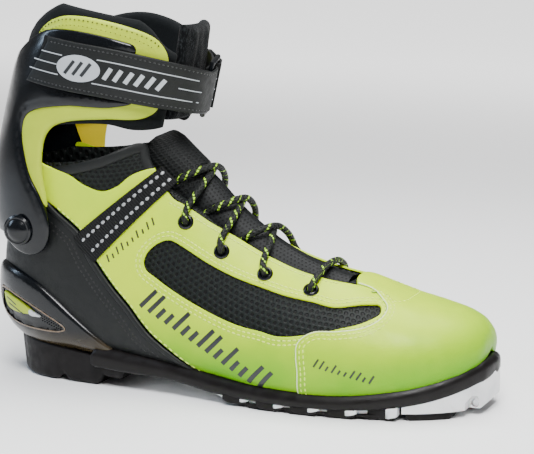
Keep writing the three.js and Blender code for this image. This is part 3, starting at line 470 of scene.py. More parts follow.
# ------------------------------------------------------------------ materials
class Shade:
    """A material built from shader nodes round one Principled shader."""

    def __init__(self, name, color, roughness, **inputs):
        self.material = bpy.data.materials.new(name)
        self.material.use_nodes = True
        self.tree = self.material.node_tree
        self.tree.nodes.clear()
        output = self.tree.nodes.new("ShaderNodeOutputMaterial")
        self.shader = self.tree.nodes.new("ShaderNodeBsdfPrincipled")
        self.tree.links.new(self.shader.outputs[0], output.inputs[0])
        self.set(Base_Color=color, Roughness=roughness, **inputs)

    def set(self, **inputs):
        for key, value in inputs.items():
            self.put(self.shader.inputs[key.replace("_", " ")], value)
        return self

    def put(self, socket, value):
        if isinstance(value, bpy.types.NodeSocket):
            self.tree.links.new(value, socket)
        elif isinstance(value, tuple) and len(value) == 3 and socket.type == "RGBA":
            socket.default_value = (*value, 1)
        else:
            socket.default_value = value

    def node(self, kind, inputs=(), out=0, **settings):
        n = self.tree.nodes.new("ShaderNode" + kind)
        for key, value in settings.items():
            setattr(n, key, value)
        for k, value in (inputs.items() if isinstance(inputs, dict) else enumerate(inputs)):
            if value is not None:
                self.put(n.inputs[k], value)
        return n.outputs[out]

    def math(self, operation, *values, clamp=False):
        return self.node("Math", values, operation=operation, use_clamp=clamp)

    def vector(self, operation, *values, out=0):
        return self.node("VectorMath", values, operation=operation, out=out)

    def uv(self, out=2):
        return self.node("TexCoord", out=out)

    def place(self):
        return self.node("TexCoord", out=3)

    def noise(self, scale, detail=3.0, roughness=0.55, where=None):
        return self.node("TexNoise", {"Vector": where or self.place(), "Scale": scale, "Detail": detail,
            "Roughness": roughness})

    def ramp(self, value, low, high, to_low=0.0, to_high=1.0, kind="SMOOTHSTEP"):
        return self.node(
            "MapRange",
            {"Value": value, "From Min": low, "From Max": high, "To Min": to_low, "To Max": to_high},
            interpolation_type=kind,
        )

    def mix(self, share, a, b):
        n = self.tree.nodes.new("ShaderNodeMix")
        n.data_type = "RGBA"
        for k, value in ((0, share), (6, a), (7, b)):
            self.put(n.inputs[k], value)
        return n.outputs[2]

    def bump(self, height, distance, strength=1.0):
        """Adds relief, in metres, on top of any already there."""
        before = self.shader.inputs["Normal"].links
        inputs = {"Height": height, "Distance": distance, "Strength": strength}
        if before:
            inputs["Normal"] = before[0].from_socket
        self.put(self.shader.inputs["Normal"], self.node("Bump", inputs))
        return self

    def dots(self, pitch, squash=1.0, where=None):
        """Distance in millimetres from the nearest point of a staggered grid over the pattern."""
        step = (pitch, pitch * 1.732 * squash, 1.0)
        p = self.vector("DIVIDE", where or self.uv(), step)
        found = []
        for shift in ((0.0, 0.0, 0.0), (0.5, 0.5, 0.0)):
            cell = self.vector("SUBTRACT", self.vector("FRACTION", self.vector("ADD", p, shift)),
                (0.5, 0.5, 0.0))
            found.append(self.vector("LENGTH", self.vector("MULTIPLY", cell, (step[0], step[1], 0.0)), out=1))
        return self.math("MINIMUM", *found)

    def lines(self, direction, pitch, where=None):
        """A wave from 0 to 1 across lines over the pattern."""
        along = self.vector("DOT_PRODUCT", where or self.uv(), direction, out=1)
        return self.math("MULTIPLY_ADD", self.math("SINE",
            self.math("MULTIPLY", along, 2 * math.pi / pitch)), 0.5, 0.5)


LIME = (0.53, 0.72, 0.0)
# deep green for the painted shade low on the lime panels; the mottling noise also mixes it in at random
LIME_SHADE_AND_MOTTLE = (0.11, 0.36, 0.0)
LIME_SOFT = (0.42, 0.53, 0.02)


def lime_synthetic():
    s = Shade("lime_synthetic", LIME, 0.42, Specular_IOR_Level=0.16)
    # painted shade: the lime turns deep green towards the bottom, away from the light from above, and darkens
    # towards the toe tip
    ahead = s.ramp(s.node("SeparateXYZ", [s.place()], out=0), 0.20, 0.262, 0.0, 0.45)
    low = s.math("ADD", ahead, s.ramp(s.node("SeparateXYZ", [s.place()], out=2), 0.012, 0.058, 0.8, 0.0))
    cloud = s.ramp(s.noise(22), 0.3, 0.7, 0.0, 0.22)
    s.set(Base_Color=s.mix(s.math("ADD", low, cloud, clamp=True), LIME, LIME_SHADE_AND_MOTTLE))
    s.set(Roughness=s.ramp(s.noise(160, 2), 0.3, 0.7, 0.31, 0.43))
    s.bump(s.noise(1500, 2), 0.00007)
    s.bump(s.noise(90, 3), 0.00025)
    return s.material


def air_mesh(name="air_mesh", pitch=3.55, hole=1.12, thread=(0.0065, 0.0095, 0.0085)):
    s = Shade(name, thread, 0.55, Specular_IOR_Level=0.2)
    d = s.dots(pitch)
    solid = s.ramp(d, hole * 0.72, hole * 1.25)
    fine = s.dots(0.62)
    s.set(Base_Color=s.mix(solid, (0.0003, 0.0005, 0.0005),
        s.mix(s.ramp(fine, 0.1, 0.3), tuple(c * 0.45 for c in thread), thread)))
    s.bump(solid, 0.0011)
    s.bump(fine, 0.0002, 0.8)
    return s.material


def black_synthetic(name="matte_black_synthetic", color=(0.0075, 0.0085, 0.0085), roughness=0.46):
    s = Shade(name, color, roughness, Specular_IOR_Level=0.22)
    s.set(Roughness=s.ramp(s.noise(240, 3), 0.3, 0.7, roughness - 0.07, roughness + 0.08))
    s.bump(s.node("TexVoronoi", {"Vector": s.place(), "Scale": 1500.0}), 0.00006)
    s.bump(s.noise(120, 3), 0.0002)
    return s.material


def perforated_synthetic():
    s = Shade("perforated_synthetic", (0.0045, 0.005, 0.0055), 0.5, Specular_IOR_Level=0.14)
    solid = s.ramp(s.dots(2.75), 0.42, 0.62)
    s.set(Base_Color=s.mix(solid, (0.0002, 0.0002, 0.0002), (0.0055, 0.0065, 0.007)))
    s.bump(solid, 0.0009)
    s.bump(s.noise(1200, 2), 0.00006)
    return s.material


def gloss_black(name="gloss_black_shell", color=(0.0022, 0.003, 0.0042), roughness=0.2, floor_reflection_tint=None):
    s = Shade(name, color, roughness, Coat_Weight=0.12, Coat_Roughness=0.08, Specular_IOR_Level=0.3)
    # painted reflection: near the bottom the black turns brown, standing for the floor reflected in the gloss
    if floor_reflection_tint:
        low = s.ramp(s.node("SeparateXYZ", [s.place()], out=2), 0.021, 0.034, 1.0, 0.0)
        s.set(Base_Color=s.mix(low, color, floor_reflection_tint))
    s.set(Roughness=s.ramp(s.noise(60, 4), 0.3, 0.75, roughness - 0.04, roughness + 0.08))
    s.bump(s.noise(40, 2), 0.00012)
    s.bump(s.noise(1800, 1), 0.00002)
    return s.material


def soft_lime():
    s = Shade("soft_lime_inlay", LIME_SOFT, 0.42, Specular_IOR_Level=0.2, Subsurface_Weight=0.08,
        Subsurface_Scale=0.004)
    s.set(Subsurface_Radius=(1.0, 0.9, 0.3))
    s.set(Base_Color=s.mix(s.ramp(s.noise(30), 0.3, 0.7), LIME_SOFT, tuple(c * 0.88 for c in LIME_SOFT)))
    s.bump(s.noise(1400, 2), 0.00004)
    return s.material


def woven_tape(name="woven_tape", across=(1.0, 0, 0), along=(0, 1.0, 0)):
    s = Shade(name, (0.006, 0.007, 0.007), 0.7, Specular_IOR_Level=0.2)
    ribs = s.lines(along, 1.5)
    twill = s.lines((across[0] + along[0], across[1] + along[1], 0), 0.7)
    # painted shade: the tape is darker in the valleys between the ribs and twill lines
    s.set(Base_Color=s.mix(s.math("MULTIPLY", ribs, s.ramp(twill, 0, 1, 0.5, 1)), (0.001, 0.001, 0.001),
        (0.010, 0.011, 0.012)))
    s.bump(ribs, 0.0005)
    s.bump(twill, 0.00015)
    return s.material


def reflective_thread():
    s = Shade("reflective_thread", (0.30, 0.31, 0.32), 0.4, Metallic=0.2)
    s.set(Base_Color=s.mix(s.noise(900, 2), (0.20, 0.21, 0.22), (0.42, 0.43, 0.44)))
    s.bump(s.noise(2500, 2), 0.0001)
    return s.material


def thread(name, color, roughness=0.5):
    s = Shade(name, color, roughness, Sheen_Weight=0.2)
    s.set(Base_Color=s.mix(s.noise(1500, 2), tuple(c * 0.7 for c in color),
        tuple(min(c * 1.15, 1) for c in color)))
    s.bump(s.noise(3000, 2), 0.0001)
    return s.material


def braided_lace():
    s = Shade("braided_lace", (0.004, 0.005, 0.0045), 0.6, Specular_IOR_Level=0.25)
    x, y = (s.node("SeparateXYZ", [s.uv()], out=k) for k in (0, 1))
    turns = s.math("MULTIPLY", y, 4.0)
    strands = [s.math("FRACT", s.math("ADD", s.math("DIVIDE", x, 3.0), s.math("MULTIPLY", turns, w)))
        for w in (1.0, -1.0)]
    ridge = s.math("MAXIMUM", *(s.math("SINE", s.math("MULTIPLY", f, math.pi)) for f in strands))
    beat = s.math("FRACT", s.math("ADD", s.math("DIVIDE", x, 10.5), s.math("MULTIPLY", y, 1.0)))
    picked = s.math("MULTIPLY", s.math("GREATER_THAN", beat, 0.38),
        s.math("LESS_THAN", s.math("FRACT", s.math("ADD", s.math("DIVIDE", x, 6.0),
            s.math("MULTIPLY", y, 2.0))), 0.27))
    gap = s.math("GREATER_THAN", s.math("SINE", s.math("MULTIPLY", strands[1], math.pi)), 0.45)
    fleck = s.math("MULTIPLY", picked, gap)
    # painted shade: the black is darkest in the valleys between the strands and lighter on their crowns; the
    # lime flecks are woven in
    s.set(Base_Color=s.mix(fleck, s.mix(ridge, (0.0006, 0.0008, 0.0008), (0.008, 0.0095, 0.0085)),
        (0.36, 0.66, 0.02)))
    s.bump(ridge, 0.0007)
    s.bump(s.noise(2600, 2), 0.00012)
    return s.material


def cloth(name="black_cloth", color=(0.0035, 0.0045, 0.005), sheen=0.03, grain=1.0):
    s = Shade(name, color, 0.85, Sheen_Weight=sheen, Sheen_Roughness=0.45, Specular_IOR_Level=0.12)
    s.set(Base_Color=s.mix(s.noise(700, 3), tuple(c * 0.55 for c in color), tuple(c * 1.5 for c in color)))
    s.bump(s.noise(1300, 3), 0.00022 * grain)
    s.bump(s.noise(70, 3), 0.0006)
    return s.material


def brushed_cloth():
    s = Shade("brushed_cloth", (0.005, 0.006, 0.007), 0.9, Sheen_Weight=0.06, Sheen_Roughness=0.35,
        Specular_IOR_Level=0.1)
    streak = s.node("TexNoise", {"Vector": s.vector("MULTIPLY", s.uv(), (0.35, 1.6, 1.0)), "Scale": 1.0,
        "Detail": 5.0, "Roughness": 0.7})
    s.set(Base_Color=s.mix(s.ramp(streak, 0.45, 0.75), (0.0015, 0.002, 0.0025), (0.03, 0.034, 0.036)))
    s.bump(streak, 0.0006)
    s.bump(s.noise(1800, 3), 0.0003)
    return s.material


def rubber(name="black_rubber", color=(0.0055, 0.0045, 0.0045), roughness=0.55):
    s = Shade(name, color, roughness, Specular_IOR_Level=0.2)
    s.set(Roughness=s.ramp(s.noise(200, 3), 0.3, 0.7, roughness - 0.1, roughness + 0.1))
    s.bump(s.noise(1600, 2), 0.00006)
    s.bump(s.noise(80, 3), 0.0002)
    return s.material


def white_nylon():
    s = Shade("white_nylon", (0.78, 0.79, 0.80), 0.3, Subsurface_Weight=0.1, Subsurface_Scale=0.003)
    s.set(Base_Color=s.mix(s.ramp(s.noise(50), 0.35, 0.8), (0.80, 0.81, 0.82), (0.62, 0.63, 0.65)))
    s.bump(s.noise(900, 3), 0.0001)
    return s.material


def steel():
    s = Shade("drawn_steel", (0.55, 0.56, 0.58), 0.25, Metallic=1.0)
    s.set(Roughness=s.ramp(s.noise(300, 4), 0.3, 0.7, 0.18, 0.36))
    s.bump(s.noise(1500, 2), 0.00004)
    return s.material


def flat_print(name, color, roughness=0.5):
    s = Shade(name, color, roughness)
    s.set(Base_Color=s.mix(s.noise(600, 3), tuple(c * 0.9 for c in color), color))
    s.bump(s.noise(1500, 2), 0.00003)
    return s.material


def pale_floor():
    s = Shade("pale_floor", (0.86, 0.86, 0.86), 0.85, Specular_IOR_Level=0.1)
    s.set(Base_Color=s.mix(s.noise(3, 2), (0.86, 0.86, 0.86), (0.88, 0.88, 0.88)))
    far = s.ramp(s.node("SeparateXYZ", [s.place()], out=1), 0.15, 1.3, 0.0, 1.6)
    s.set(Emission_Color=(1, 1, 1), Emission_Strength=far)
    s.bump(s.noise(300, 2), 0.00005)
    return s.material


lime = lime_synthetic()
mesh_cloth = air_mesh()
mesh_small = air_mesh("air_mesh_small", pitch=3.1, hole=0.95, thread=(0.004, 0.0055, 0.0055))
matte_black = black_synthetic()
perforated = perforated_synthetic()
gloss = gloss_black()
# painted reflection: a brown floor reflection painted low on the heel cup
cup_gloss = gloss_black("cup_gloss", floor_reflection_tint=(0.040, 0.029, 0.015))
inlay = soft_lime()
tape = woven_tape()
strap_cloth = black_synthetic("strap_synthetic", color=(0.0075, 0.0085, 0.0085), roughness=0.5)
silver_thread = reflective_thread()
lime_thread = thread("lime_thread", (0.68, 0.86, 0.10))
# painted shade: the darker lime of the strips under the lime stitches, standing for groove shade
lime_groove_shade = thread("lime_groove_shade", (0.16, 0.34, 0.0))
black_thread = thread("black_thread", (0.006, 0.007, 0.008))
lace_braid = braided_lace()
pad_cloth = cloth()
insole_cloth = cloth("insole_cloth", color=(0.02, 0.022, 0.025), sheen=0.05)
flap_cloth = brushed_cloth()
sole_rubber = rubber()
rand_rubber = rubber("rand_rubber", color=(0.006, 0.005, 0.005), roughness=0.4)
nylon = white_nylon()
bar_steel = steel()
black_print = flat_print("black_print", (0.012, 0.014, 0.016), 0.4)
grey_print = flat_print("grey_print", (0.40, 0.43, 0.46), 0.35)
silver_print = flat_print("silver_print", (0.55, 0.57, 0.60), 0.25)
pale_edge = flat_print("pale_cut_edge", (0.72, 0.84, 0.42), 0.5)
hole_black = flat_print("stitch_holes", (0.001, 0.001, 0.001), 0.6)
yellow_nylon = flat_print("yellow_inner_face", (0.72, 0.55, 0.01), 0.4)
bronze = flat_print("bronze_edge", (0.16, 0.11, 0.07), 0.25)


# ------------------------------------------------------------------ outlines of the lower boot, on its
# outer side
EYESTAY = [(0.30, 0.10), (0.33, 0.114), (0.40, 0.128), (0.47, 0.136), (0.53, 0.136), (0.65, 0.146),
    (0.71, 0.16), (0.80, 0.174)]
TOE_SEAM = [(180, 67), (188, 64.5), (195, 60.5), (199.5, 57), (199, 53), (192, 49), (179, 47), (166, 46),
    (160, 43), (157, 39), (157, 33), (158, 23), (157, 8)]
WINDOW = [(195.5, 58.4), (191, 59), (175, 58), (161, 60), (145, 62.3), (130, 65.8), (115, 69.8), (99, 76),
    (83, 84.3), (74, 88), (68.5, 86.5), (63, 82), (60.2, 76), (61.5, 71.5), (69, 66.6), (85, 58), (102, 51),
        (124, 45), (134, 43.9), (145, 42.2), (160, 44), (178, 48), (190, 51), (197.5, 55)]
QUARTER_TOP = [(-14, 130), (0, 127), (14, 123), (24, 117), (34, 114), (42, 117), (49, 123), (56, 126),
    (61, 127)]
COUNTER_FRONT = [(-4, 110), (4, 102), (20, 89), (29, 74), (41, 59), (52, 48), (64, 35), (80, 24),
    (95, 16.5), (112, 12), (124, 9)]
EYELETS = [(0.42, 0.214), (0.539, 0.221), (0.646, 0.229), (0.744, 0.214)]


def eyestay(t, side=-1):
    T, A = np.array(EYESTAY).T
    return foot.uv(t, side * np.interp(t, T, A))


def ta_line(pairs, side=-1, surf=foot):
    """Flat points of (t, a) pairs given on the outer side."""
    t, a = np.array(pairs, float).T
    return surf.uv(t, a * -side)


def join(*lines):
    """One closed loop, and the places where the joined lines meet."""
    corners, total = [], 0
    for line in lines:
        corners.append(total)
        total += len(line)
    return np.concatenate(lines), corners


def smoothed(points, spacing=1.4, corners=()):
    return spline(points, spacing, closed=True, corners=corners)


# ------------------------------------------------------------------ sock, mesh and tongue
def shell(name, surf, t_range, a_range, low, high, material, body, shape=(120, 160), rim=None, bulge=None):
    """A closed thick sheet over a rectangle of (t, a); rim rounds its edge at the last t, bulge adds
    height."""
    T = np.linspace(*t_range, shape[0])
    A = np.linspace(*a_range, shape[1])
    tt, aa = np.meshgrid(T, A, indexing="ij")
    whole = a_range[1] - a_range[0] > 1.999
    hi, lo = np.full(tt.shape, float(high)), np.full(tt.shape, float(low))
    if bulge is not None:
        hi = hi + bulge(tt, aa)
    if rim:
        d = (t_range[1] - tt) * abs(surf.u[-1] - surf.u[0]) / (surf.t[-1] - surf.t[0])
        q = np.clip(1 - d / rim, 0, 1)
        mid = (hi + lo) / 2
        round_off = np.sqrt(np.clip(1 - q**2, 0, 1))
        hi, lo = mid + (hi - mid) * round_off, mid + (lo - mid) * round_off
    outer, inner = surf.at(tt, aa, hi), surf.at(tt, aa, lo)
    m, n = tt.shape
    uv = surf.uv(tt, aa).reshape(-1, 2)
    V = np.concatenate([outer.reshape(-1, 3), inner.reshape(-1, 3)])
    ix = np.arange(m * n).reshape(m, n)
    faces = []
    columns = n - 1
    for i in range(m - 1):
        for j in range(columns):
            a, b, c, d = ix[i, j], ix[i, j + 1], ix[i + 1, j + 1], ix[i + 1, j]
            faces += [(a, b, c, d), tuple(m * n + k for k in (d, c, b, a))]
    edges = [(ix[i, 0], ix[i + 1, 0]) for i in range(m - 1)] + [(ix[m - 1, j], ix[m - 1, j + 1])
        for j in range(n - 1)]
    edges += [(ix[i + 1, -1], ix[i, -1]) for i in range(m - 1)] + [(ix[0, j + 1], ix[0, j])
        for j in range(n - 1)]
    if whole:
        edges = [e for e in edges if not ((e[0] % n == 0 and e[1] % n == 0)
            or (e[0] % n == n - 1 and e[1] % n == n - 1))]
    faces += [(a, b, m * n + b, m * n + a) for a, b in edges]
    o = make(name, V, faces, material, body, uvs=np.concatenate([uv, uv]), sharp=50)
    bm = bmesh.new()
    bm.from_mesh(o.data)
    if whole:
        bmesh.ops.remove_doubles(bm, verts=bm.verts, dist=1e-6)
    bmesh.ops.recalc_face_normals(bm, faces=bm.faces)
    bm.to_mesh(o.data)
    bm.free()
    return o


def throat_edge(t):
    """Half-width in a of the opening under the laces, inside the eyestay."""
    return np.interp(t, [0.33, 0.36, 0.82, 0.9, 1.0], [0.09, 0.118, 0.15, 0.155, 0.16])


def collar(t, a):
    """The collar's rim dips towards the throat, so the rows near the top are drawn down."""
    front = np.clip((0.75 - np.abs(np.where(a > 1, 2 - a, a))) / 0.4, 0, 1)
    return np.where(t > 0.8, t - (t - 0.8) / 0.2 * (0.014 + 0.020 * front), t)


# the sock: an open tube with a slot at the front for the tongue, built as one sheet from slot edge to slot
# edge
def build_sock():
    T = np.concatenate([np.linspace(0.012, 0.36, 90), np.linspace(0.364, 1.0, 200)])
    s = np.linspace(0, 1, 241)
    slot = np.where(T < 0.345, 0.0, throat_edge(T))
    slot = slot * np.clip((T - 0.345) / 0.02, 0, 1) ** 0.5
    aa = slot[:, None] + (2 - 2 * slot[:, None]) * s[None, :]
    aa = np.where(aa > 1, aa - 2, aa)
    tt = np.repeat(T[:, None], len(s), 1)
    d_top = (1.0 - tt) * 78
    side = np.minimum(s, 1 - s)[None, :] * 2 * np.interp(tt, foot.t, foot.L)
    d_side = np.where(tt > 0.345, side, 99)
    d = np.minimum(d_top, d_side)
    q = np.clip(1 - d / 3.0, 0, 1)
    roll = np.sqrt(np.clip(1 - q**2, 0, 1))
    pad = 0.9 * np.clip((tt - 0.86) / 0.06, 0, 1) * np.clip(d / 6, 0, 1)
    hi, lo = -0.05 + pad * 0.6, np.full(tt.shape, -2.6) - pad
    mid = (hi + lo) / 2
    hi, lo = mid + (hi - mid) * roll, mid + (lo - mid) * roll
    tt = collar(tt, aa)
    outer, inner = foot.at(tt, aa, hi), foot.at(tt, aa, lo)
    m, n = tt.shape
    ix = np.arange(m * n).reshape(m, n)
    V = np.concatenate([outer.reshape(-1, 3), inner.reshape(-1, 3)])
    uv = foot.uv(tt, aa).reshape(-1, 2)
    faces = []
    for i in range(m - 1):
        for j in range(n - 1):
            a, b, c, e = ix[i, j], ix[i, j + 1], ix[i + 1, j + 1], ix[i + 1, j]
            faces += [(a, b, c, e), (m * n + e, m * n + c, m * n + b, m * n + a)]
    rim = [ix[i, 0] for i in range(m)] + [ix[m - 1, j] for j in range(1, n)] + [ix[i, n - 1]
        for i in range(m - 2, -1, -1)]
    rim += [ix[0, j] for j in range(n - 2, 0, -1)]
    for a, b in zip(rim, rim[1:] + rim[:1]):
        faces.append((a, b, m * n + b, m * n + a))
    return make_closed("sock", V, faces, mesh_cloth, "boot", np.concatenate([uv, uv]))


def make_closed(name, vertices, faces, material, body, uvs, merge=1e-6, sharp=50):
    """A mesh with touching points merged and its faces turned outwards."""
    o = make(name, vertices, faces, material, body, uvs=uvs, sharp=sharp)
    bm = bmesh.new()
    bm.from_mesh(o.data)
    bmesh.ops.remove_doubles(bm, verts=bm.verts, dist=merge)
    bmesh.ops.dissolve_degenerate(bm, edges=bm.edges, dist=1e-7)
    bmesh.ops.recalc_face_normals(bm, faces=bm.faces)
    bm.to_mesh(o.data)
    bm.free()
    return o


sock = build_sock()
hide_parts("bootie_sock")


def ribbon(name, surf, line, width, h, thickness, material, body="boot", closed=False, crown=1.0):
    """A rounded strip laid along a flat polyline: width, height of its underside, thickness at its crown."""
    line = np.asarray(line, float)
    d = np.gradient(line, axis=0) if not closed else np.roll(line, -1, 0) - np.roll(line, 1, 0)
    side = np.stack([-d[:, 1], d[:, 0]], axis=1)
    side /= np.maximum(np.linalg.norm(side, axis=1, keepdims=True), 1e-9)
    profile = [(-1, 0.0), (-0.94, 0.5), (-0.7, 0.84), (-0.35, 0.97), (0, 1.0), (0.35, 0.97), (0.7, 0.84),
        (0.94, 0.5), (1, 0.0)]
    width = np.broadcast_to(np.asarray(width, float), (len(line),))
    rings, uvs = [], []
    for across, up in profile:
        flat = line + side * (across * width / 2)[:, None]
        rings.append(surf.at(*surf.ta(flat), h + thickness * up * crown))
        uvs.append(flat)
    V = np.stack(rings, axis=1)
    m, n = V.shape[:2]
    ix = np.arange(m * n).reshape(m, n)
    faces = []
    for i in range(m if closed else m - 1):
        for j in range(n):
            faces.append((ix[i, j], ix[i, (j + 1) % n], ix[(i + 1) % m, (j + 1) % n], ix[(i + 1) % m, j]))
    if not closed:
        faces += [tuple(ix[0]), tuple(ix[-1][::-1])]
    return make_closed(name, V.reshape(-1, 3), faces, material, body, np.stack(uvs, axis=1).reshape(-1, 2),
        merge=1e-7)


# the smooth bound rim of the collar, from one end of the throat round the back to the other
rim_line = np.concatenate([
    foot.uv(np.linspace(0.83, 0.965, 12), throat_edge(np.linspace(0.83, 0.965, 12)) + 0.012),
    foot.uv(np.full(28, 0.9755), np.linspace(0.2, 0.999, 28)),
])
half = spline(rim_line, 1.6)
t_half, a_half = foot.ta(half)
whole_t, whole_a = np.concatenate([t_half, t_half[::-1]]), np.concatenate([a_half, 2 - a_half[::-1]])
whole_t = collar(np.minimum(whole_t + 0.014, 0.997), whole_a)


def rim_strip():
    """The binding follows the rim in (t, a), so it runs through the back seam."""
    profile = [(-1, -0.3), (-0.9, 0.45), (-0.6, 0.8), (0, 1.0), (0.6, 0.8), (0.9, 0.45), (1, -0.3)]
    P = foot.at(whole_t, np.where(whole_a > 1, whole_a - 2, whole_a), 0.3)
    d = np.gradient(P, axis=0)
    n = foot.normal(whole_t, np.where(whole_a > 1, whole_a - 2, whole_a))
    side = np.cross(n, d)
    side /= np.linalg.norm(side, axis=1, keepdims=True)
    V = np.stack([P + side * (w * 2.9) + n * (0.75 * h) for w, h in profile], axis=1)
    m, k = V.shape[:2]
    ix = np.arange(m * k).reshape(m, k)
    faces = [(ix[i, j], ix[i, (j + 1) % k], ix[i + 1, (j + 1) % k], ix[i + 1, j]) for i in range(m - 1)
        for j in range(k)]
    faces += [tuple(ix[0]), tuple(ix[-1][::-1])]
    run = np.concatenate([[0], np.cumsum(np.linalg.norm(np.diff(P, axis=0), axis=1))])
    uv = np.stack([np.repeat(run, k), np.tile([w * 2.9 for w, _ in profile], m)], axis=1)
    return make_closed("collar_binding", V.reshape(-1, 3), faces, matte_black, "boot", uv, merge=1e-7)


rim_strip()


def tongue_height(tt, aa):
    return -0.3 - 7.6 * np.clip((np.abs(aa) - 0.02) / 0.165, 0, 1) ** 1.35


def build_tongue():
    T = np.linspace(0.36, 0.985, 190)
    s = np.linspace(-1, 1, 91)
    reach = np.interp(T, [0.36, 0.4, 0.87, 0.93, 0.965, 0.985], [0.12, 0.17, 0.185, 0.165, 0.13, 0.085])
    aa = reach[:, None] * s[None, :]
    tt = np.repeat(T[:, None], len(s), 1)
    top = tongue_height(tt, aa)
    upper = np.clip((tt - 0.79) / 0.03, 0, 1)
    top = top + upper * 3.4 * np.clip(1 - (np.abs(aa) / 0.15) ** 2, 0, 1) * np.clip((1.03 - tt) / 0.1, 0, 1)
    for at_t in (0.60, 0.70):
        crease = np.exp(-(((tt - at_t - 0.25 * np.abs(aa)) / 0.006) ** 2))
        top = top - 0.5 * crease
    top = top - 0.7 * np.exp(-(((tt - 0.797 - 0.1 * np.abs(aa)) / 0.007) ** 2))
    d = np.minimum((T[-1] - tt) * 78, (1 - np.abs(s[None, :])) * reach[:, None]
        * np.interp(tt, foot.t, foot.L))
    roll = np.sqrt(np.clip(1 - np.clip(1 - d / 2.4, 0, 1) ** 2, 0, 1))
    low = top - 3.2
    mid = (top + low) / 2
    outer, inner = foot.at(tt, aa, mid + (top - mid) * roll), foot.at(tt, aa, mid + (low - mid) * roll)
    m, n = tt.shape
    ix = np.arange(m * n).reshape(m, n)
    V = np.concatenate([outer.reshape(-1, 3), inner.reshape(-1, 3)])
    uv = foot.uv(tt, aa).reshape(-1, 2)
    faces = []
    for i in range(m - 1):
        for j in range(n - 1):
            a, b, c, e = ix[i, j], ix[i, j + 1], ix[i + 1, j + 1], ix[i + 1, j]
            faces += [(a, b, c, e), (m * n + e, m * n + c, m * n + b, m * n + a)]
    rim = [ix[i, 0] for i in range(m)] + [ix[m - 1, j] for j in range(1, n)] + [ix[i, n - 1]
        for i in range(m - 2, -1, -1)]
    rim += [ix[0, j] for j in range(n - 2, 0, -1)]
    faces += [(a, b, m * n + b, m * n + a) for a, b in zip(rim, rim[1:] + rim[:1])]
    o = make_closed("tongue", V, faces, perforated, "boot", np.concatenate([uv, uv]))
    o.data.materials.append(mesh_small)
    layer = o.data.uv_layers[0].data
    for p in o.data.polygons:
        u = layer[p.loop_start].uv[0]
        if np.interp(u, foot.u, foot.t) > 0.79:
            p.material_index = 1
    return o


tongue = build_tongue()
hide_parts("tongue_pad", "tongue_facing")


# ------------------------------------------------------------------ lime panels
def quarter_loops(side):
    """The big side panel: eyestay edge, patch, counter edge, sole line, toe seam, with the mesh window
    cut out."""
    stay = eyestay(np.linspace(0.322, 0.80, 22), side)
    tip = foot.side(QUARTER_TOP[::-1], side)
    back = foot.side([(-14, 122), (-8, 112)] + [(x + 2, z + 1) for x, z in COUNTER_FRONT[1:]], side)
    front = foot.side(TOE_SEAM[::-1], side)
    lower = foot.side([(132, 7.5), (145, 7)], side)
    loop, corners = join(stay, tip, back[1:], lower, front[:-1])
    line = smoothed(loop, 1.5, corners)
    window = spline(foot.side(WINDOW, side), 1.3, closed=True)
    return line, window


def lime_sheet(name, side, line, window=None, low=0.35, high=1.6, material=None, relief=None):
    loops = [line] + ([window] if window is not None else [])
    q = np.linspace(0, 2 * np.pi, 25)[:-1]
    loops += [foot.uv(t, side * a) + 3.15 * np.stack([np.cos(q), np.sin(q)], axis=1) for t, a in EYELETS]
    o = panel(name, foot, loops, low, high, material or lime, edge=0.7, spacing=2.0, relief=relief)
    return o


def grooves(lines, depth, width, closed=True):
    """Relief that presses stitched lines into a panel."""

    def relief(flat, d):
        near = distance(flat, lines, closed=closed)
        return -depth * np.exp(-((near / width) ** 2))

    return relief


for side, word in ((-1, "lateral"), (1, "medial")):
    line, window = quarter_loops(side)
    o = lime_sheet(f"quarter_{word}", side, line, window)
    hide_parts(f"quarter_{word}")
    if side == -1:
        window_rows = [offset(window, w, closed=True) for w in (2.3, 4.6)]
        if distance(window_rows[0][:1], [window])[0] and inside(window_rows[0][:1], [window])[0]:
            window_rows = [offset(window, -w, closed=True) for w in (2.3, 4.6)]
    else:
        window_rows = [mirror(r) for r in window_rows]
    stitches(f"window_stitches_{word}", foot, [np.concatenate([r, r[:1]]) for r in window_rows], 1.62,
        lime_thread, size=(0.95, 0.4, 0.28))
    stay_rows = [foot.uv(np.linspace(0.37, 0.80, 60),
        side * (np.interp(np.linspace(0.37, 0.80, 60), *np.array(EYESTAY).T) + 0.019))]
    stitches(f"eyestay_stitches_{word}", foot, stay_rows, 1.62, lime_thread, size=(0.95, 0.36, 0.26))


# ------------------------------------------------------------------ toe cap, patches and counter


def across_back(pairs):
    """Continues a flat line given on the outer side round the back or bottom seam to the inner side."""
    t, a = foot.ta(pairs)
    return foot.uv(t, -2 - a)


def toe_cap_loop():
    seam = foot.side(TOE_SEAM)
    sole = foot.side([(168, 7), (185, 8), (201, 11), (215, 14), (228, 18), (238, 22.5), (244, 26)])
    side = np.concatenate([seam[1:], sole, ta_line([(0.012, -0.72), (0.004, -0.75)])])
    tip = foot.uv(np.array([0.0]), np.array([0.0]))
    throat = ta_line([(0.334, 0.108), (0.343, 0.06), (0.345, 0.0), (0.343, -0.06), (0.334, -0.108)])
    loop = np.concatenate([throat, side, tip, mirror(side)[::-1]])
    n, k = len(throat), len(seam) - 1
    corners = [0, n - 1, n + k - 1, n + len(side), len(loop) - k]
    return smoothed(loop, 1.6, corners)


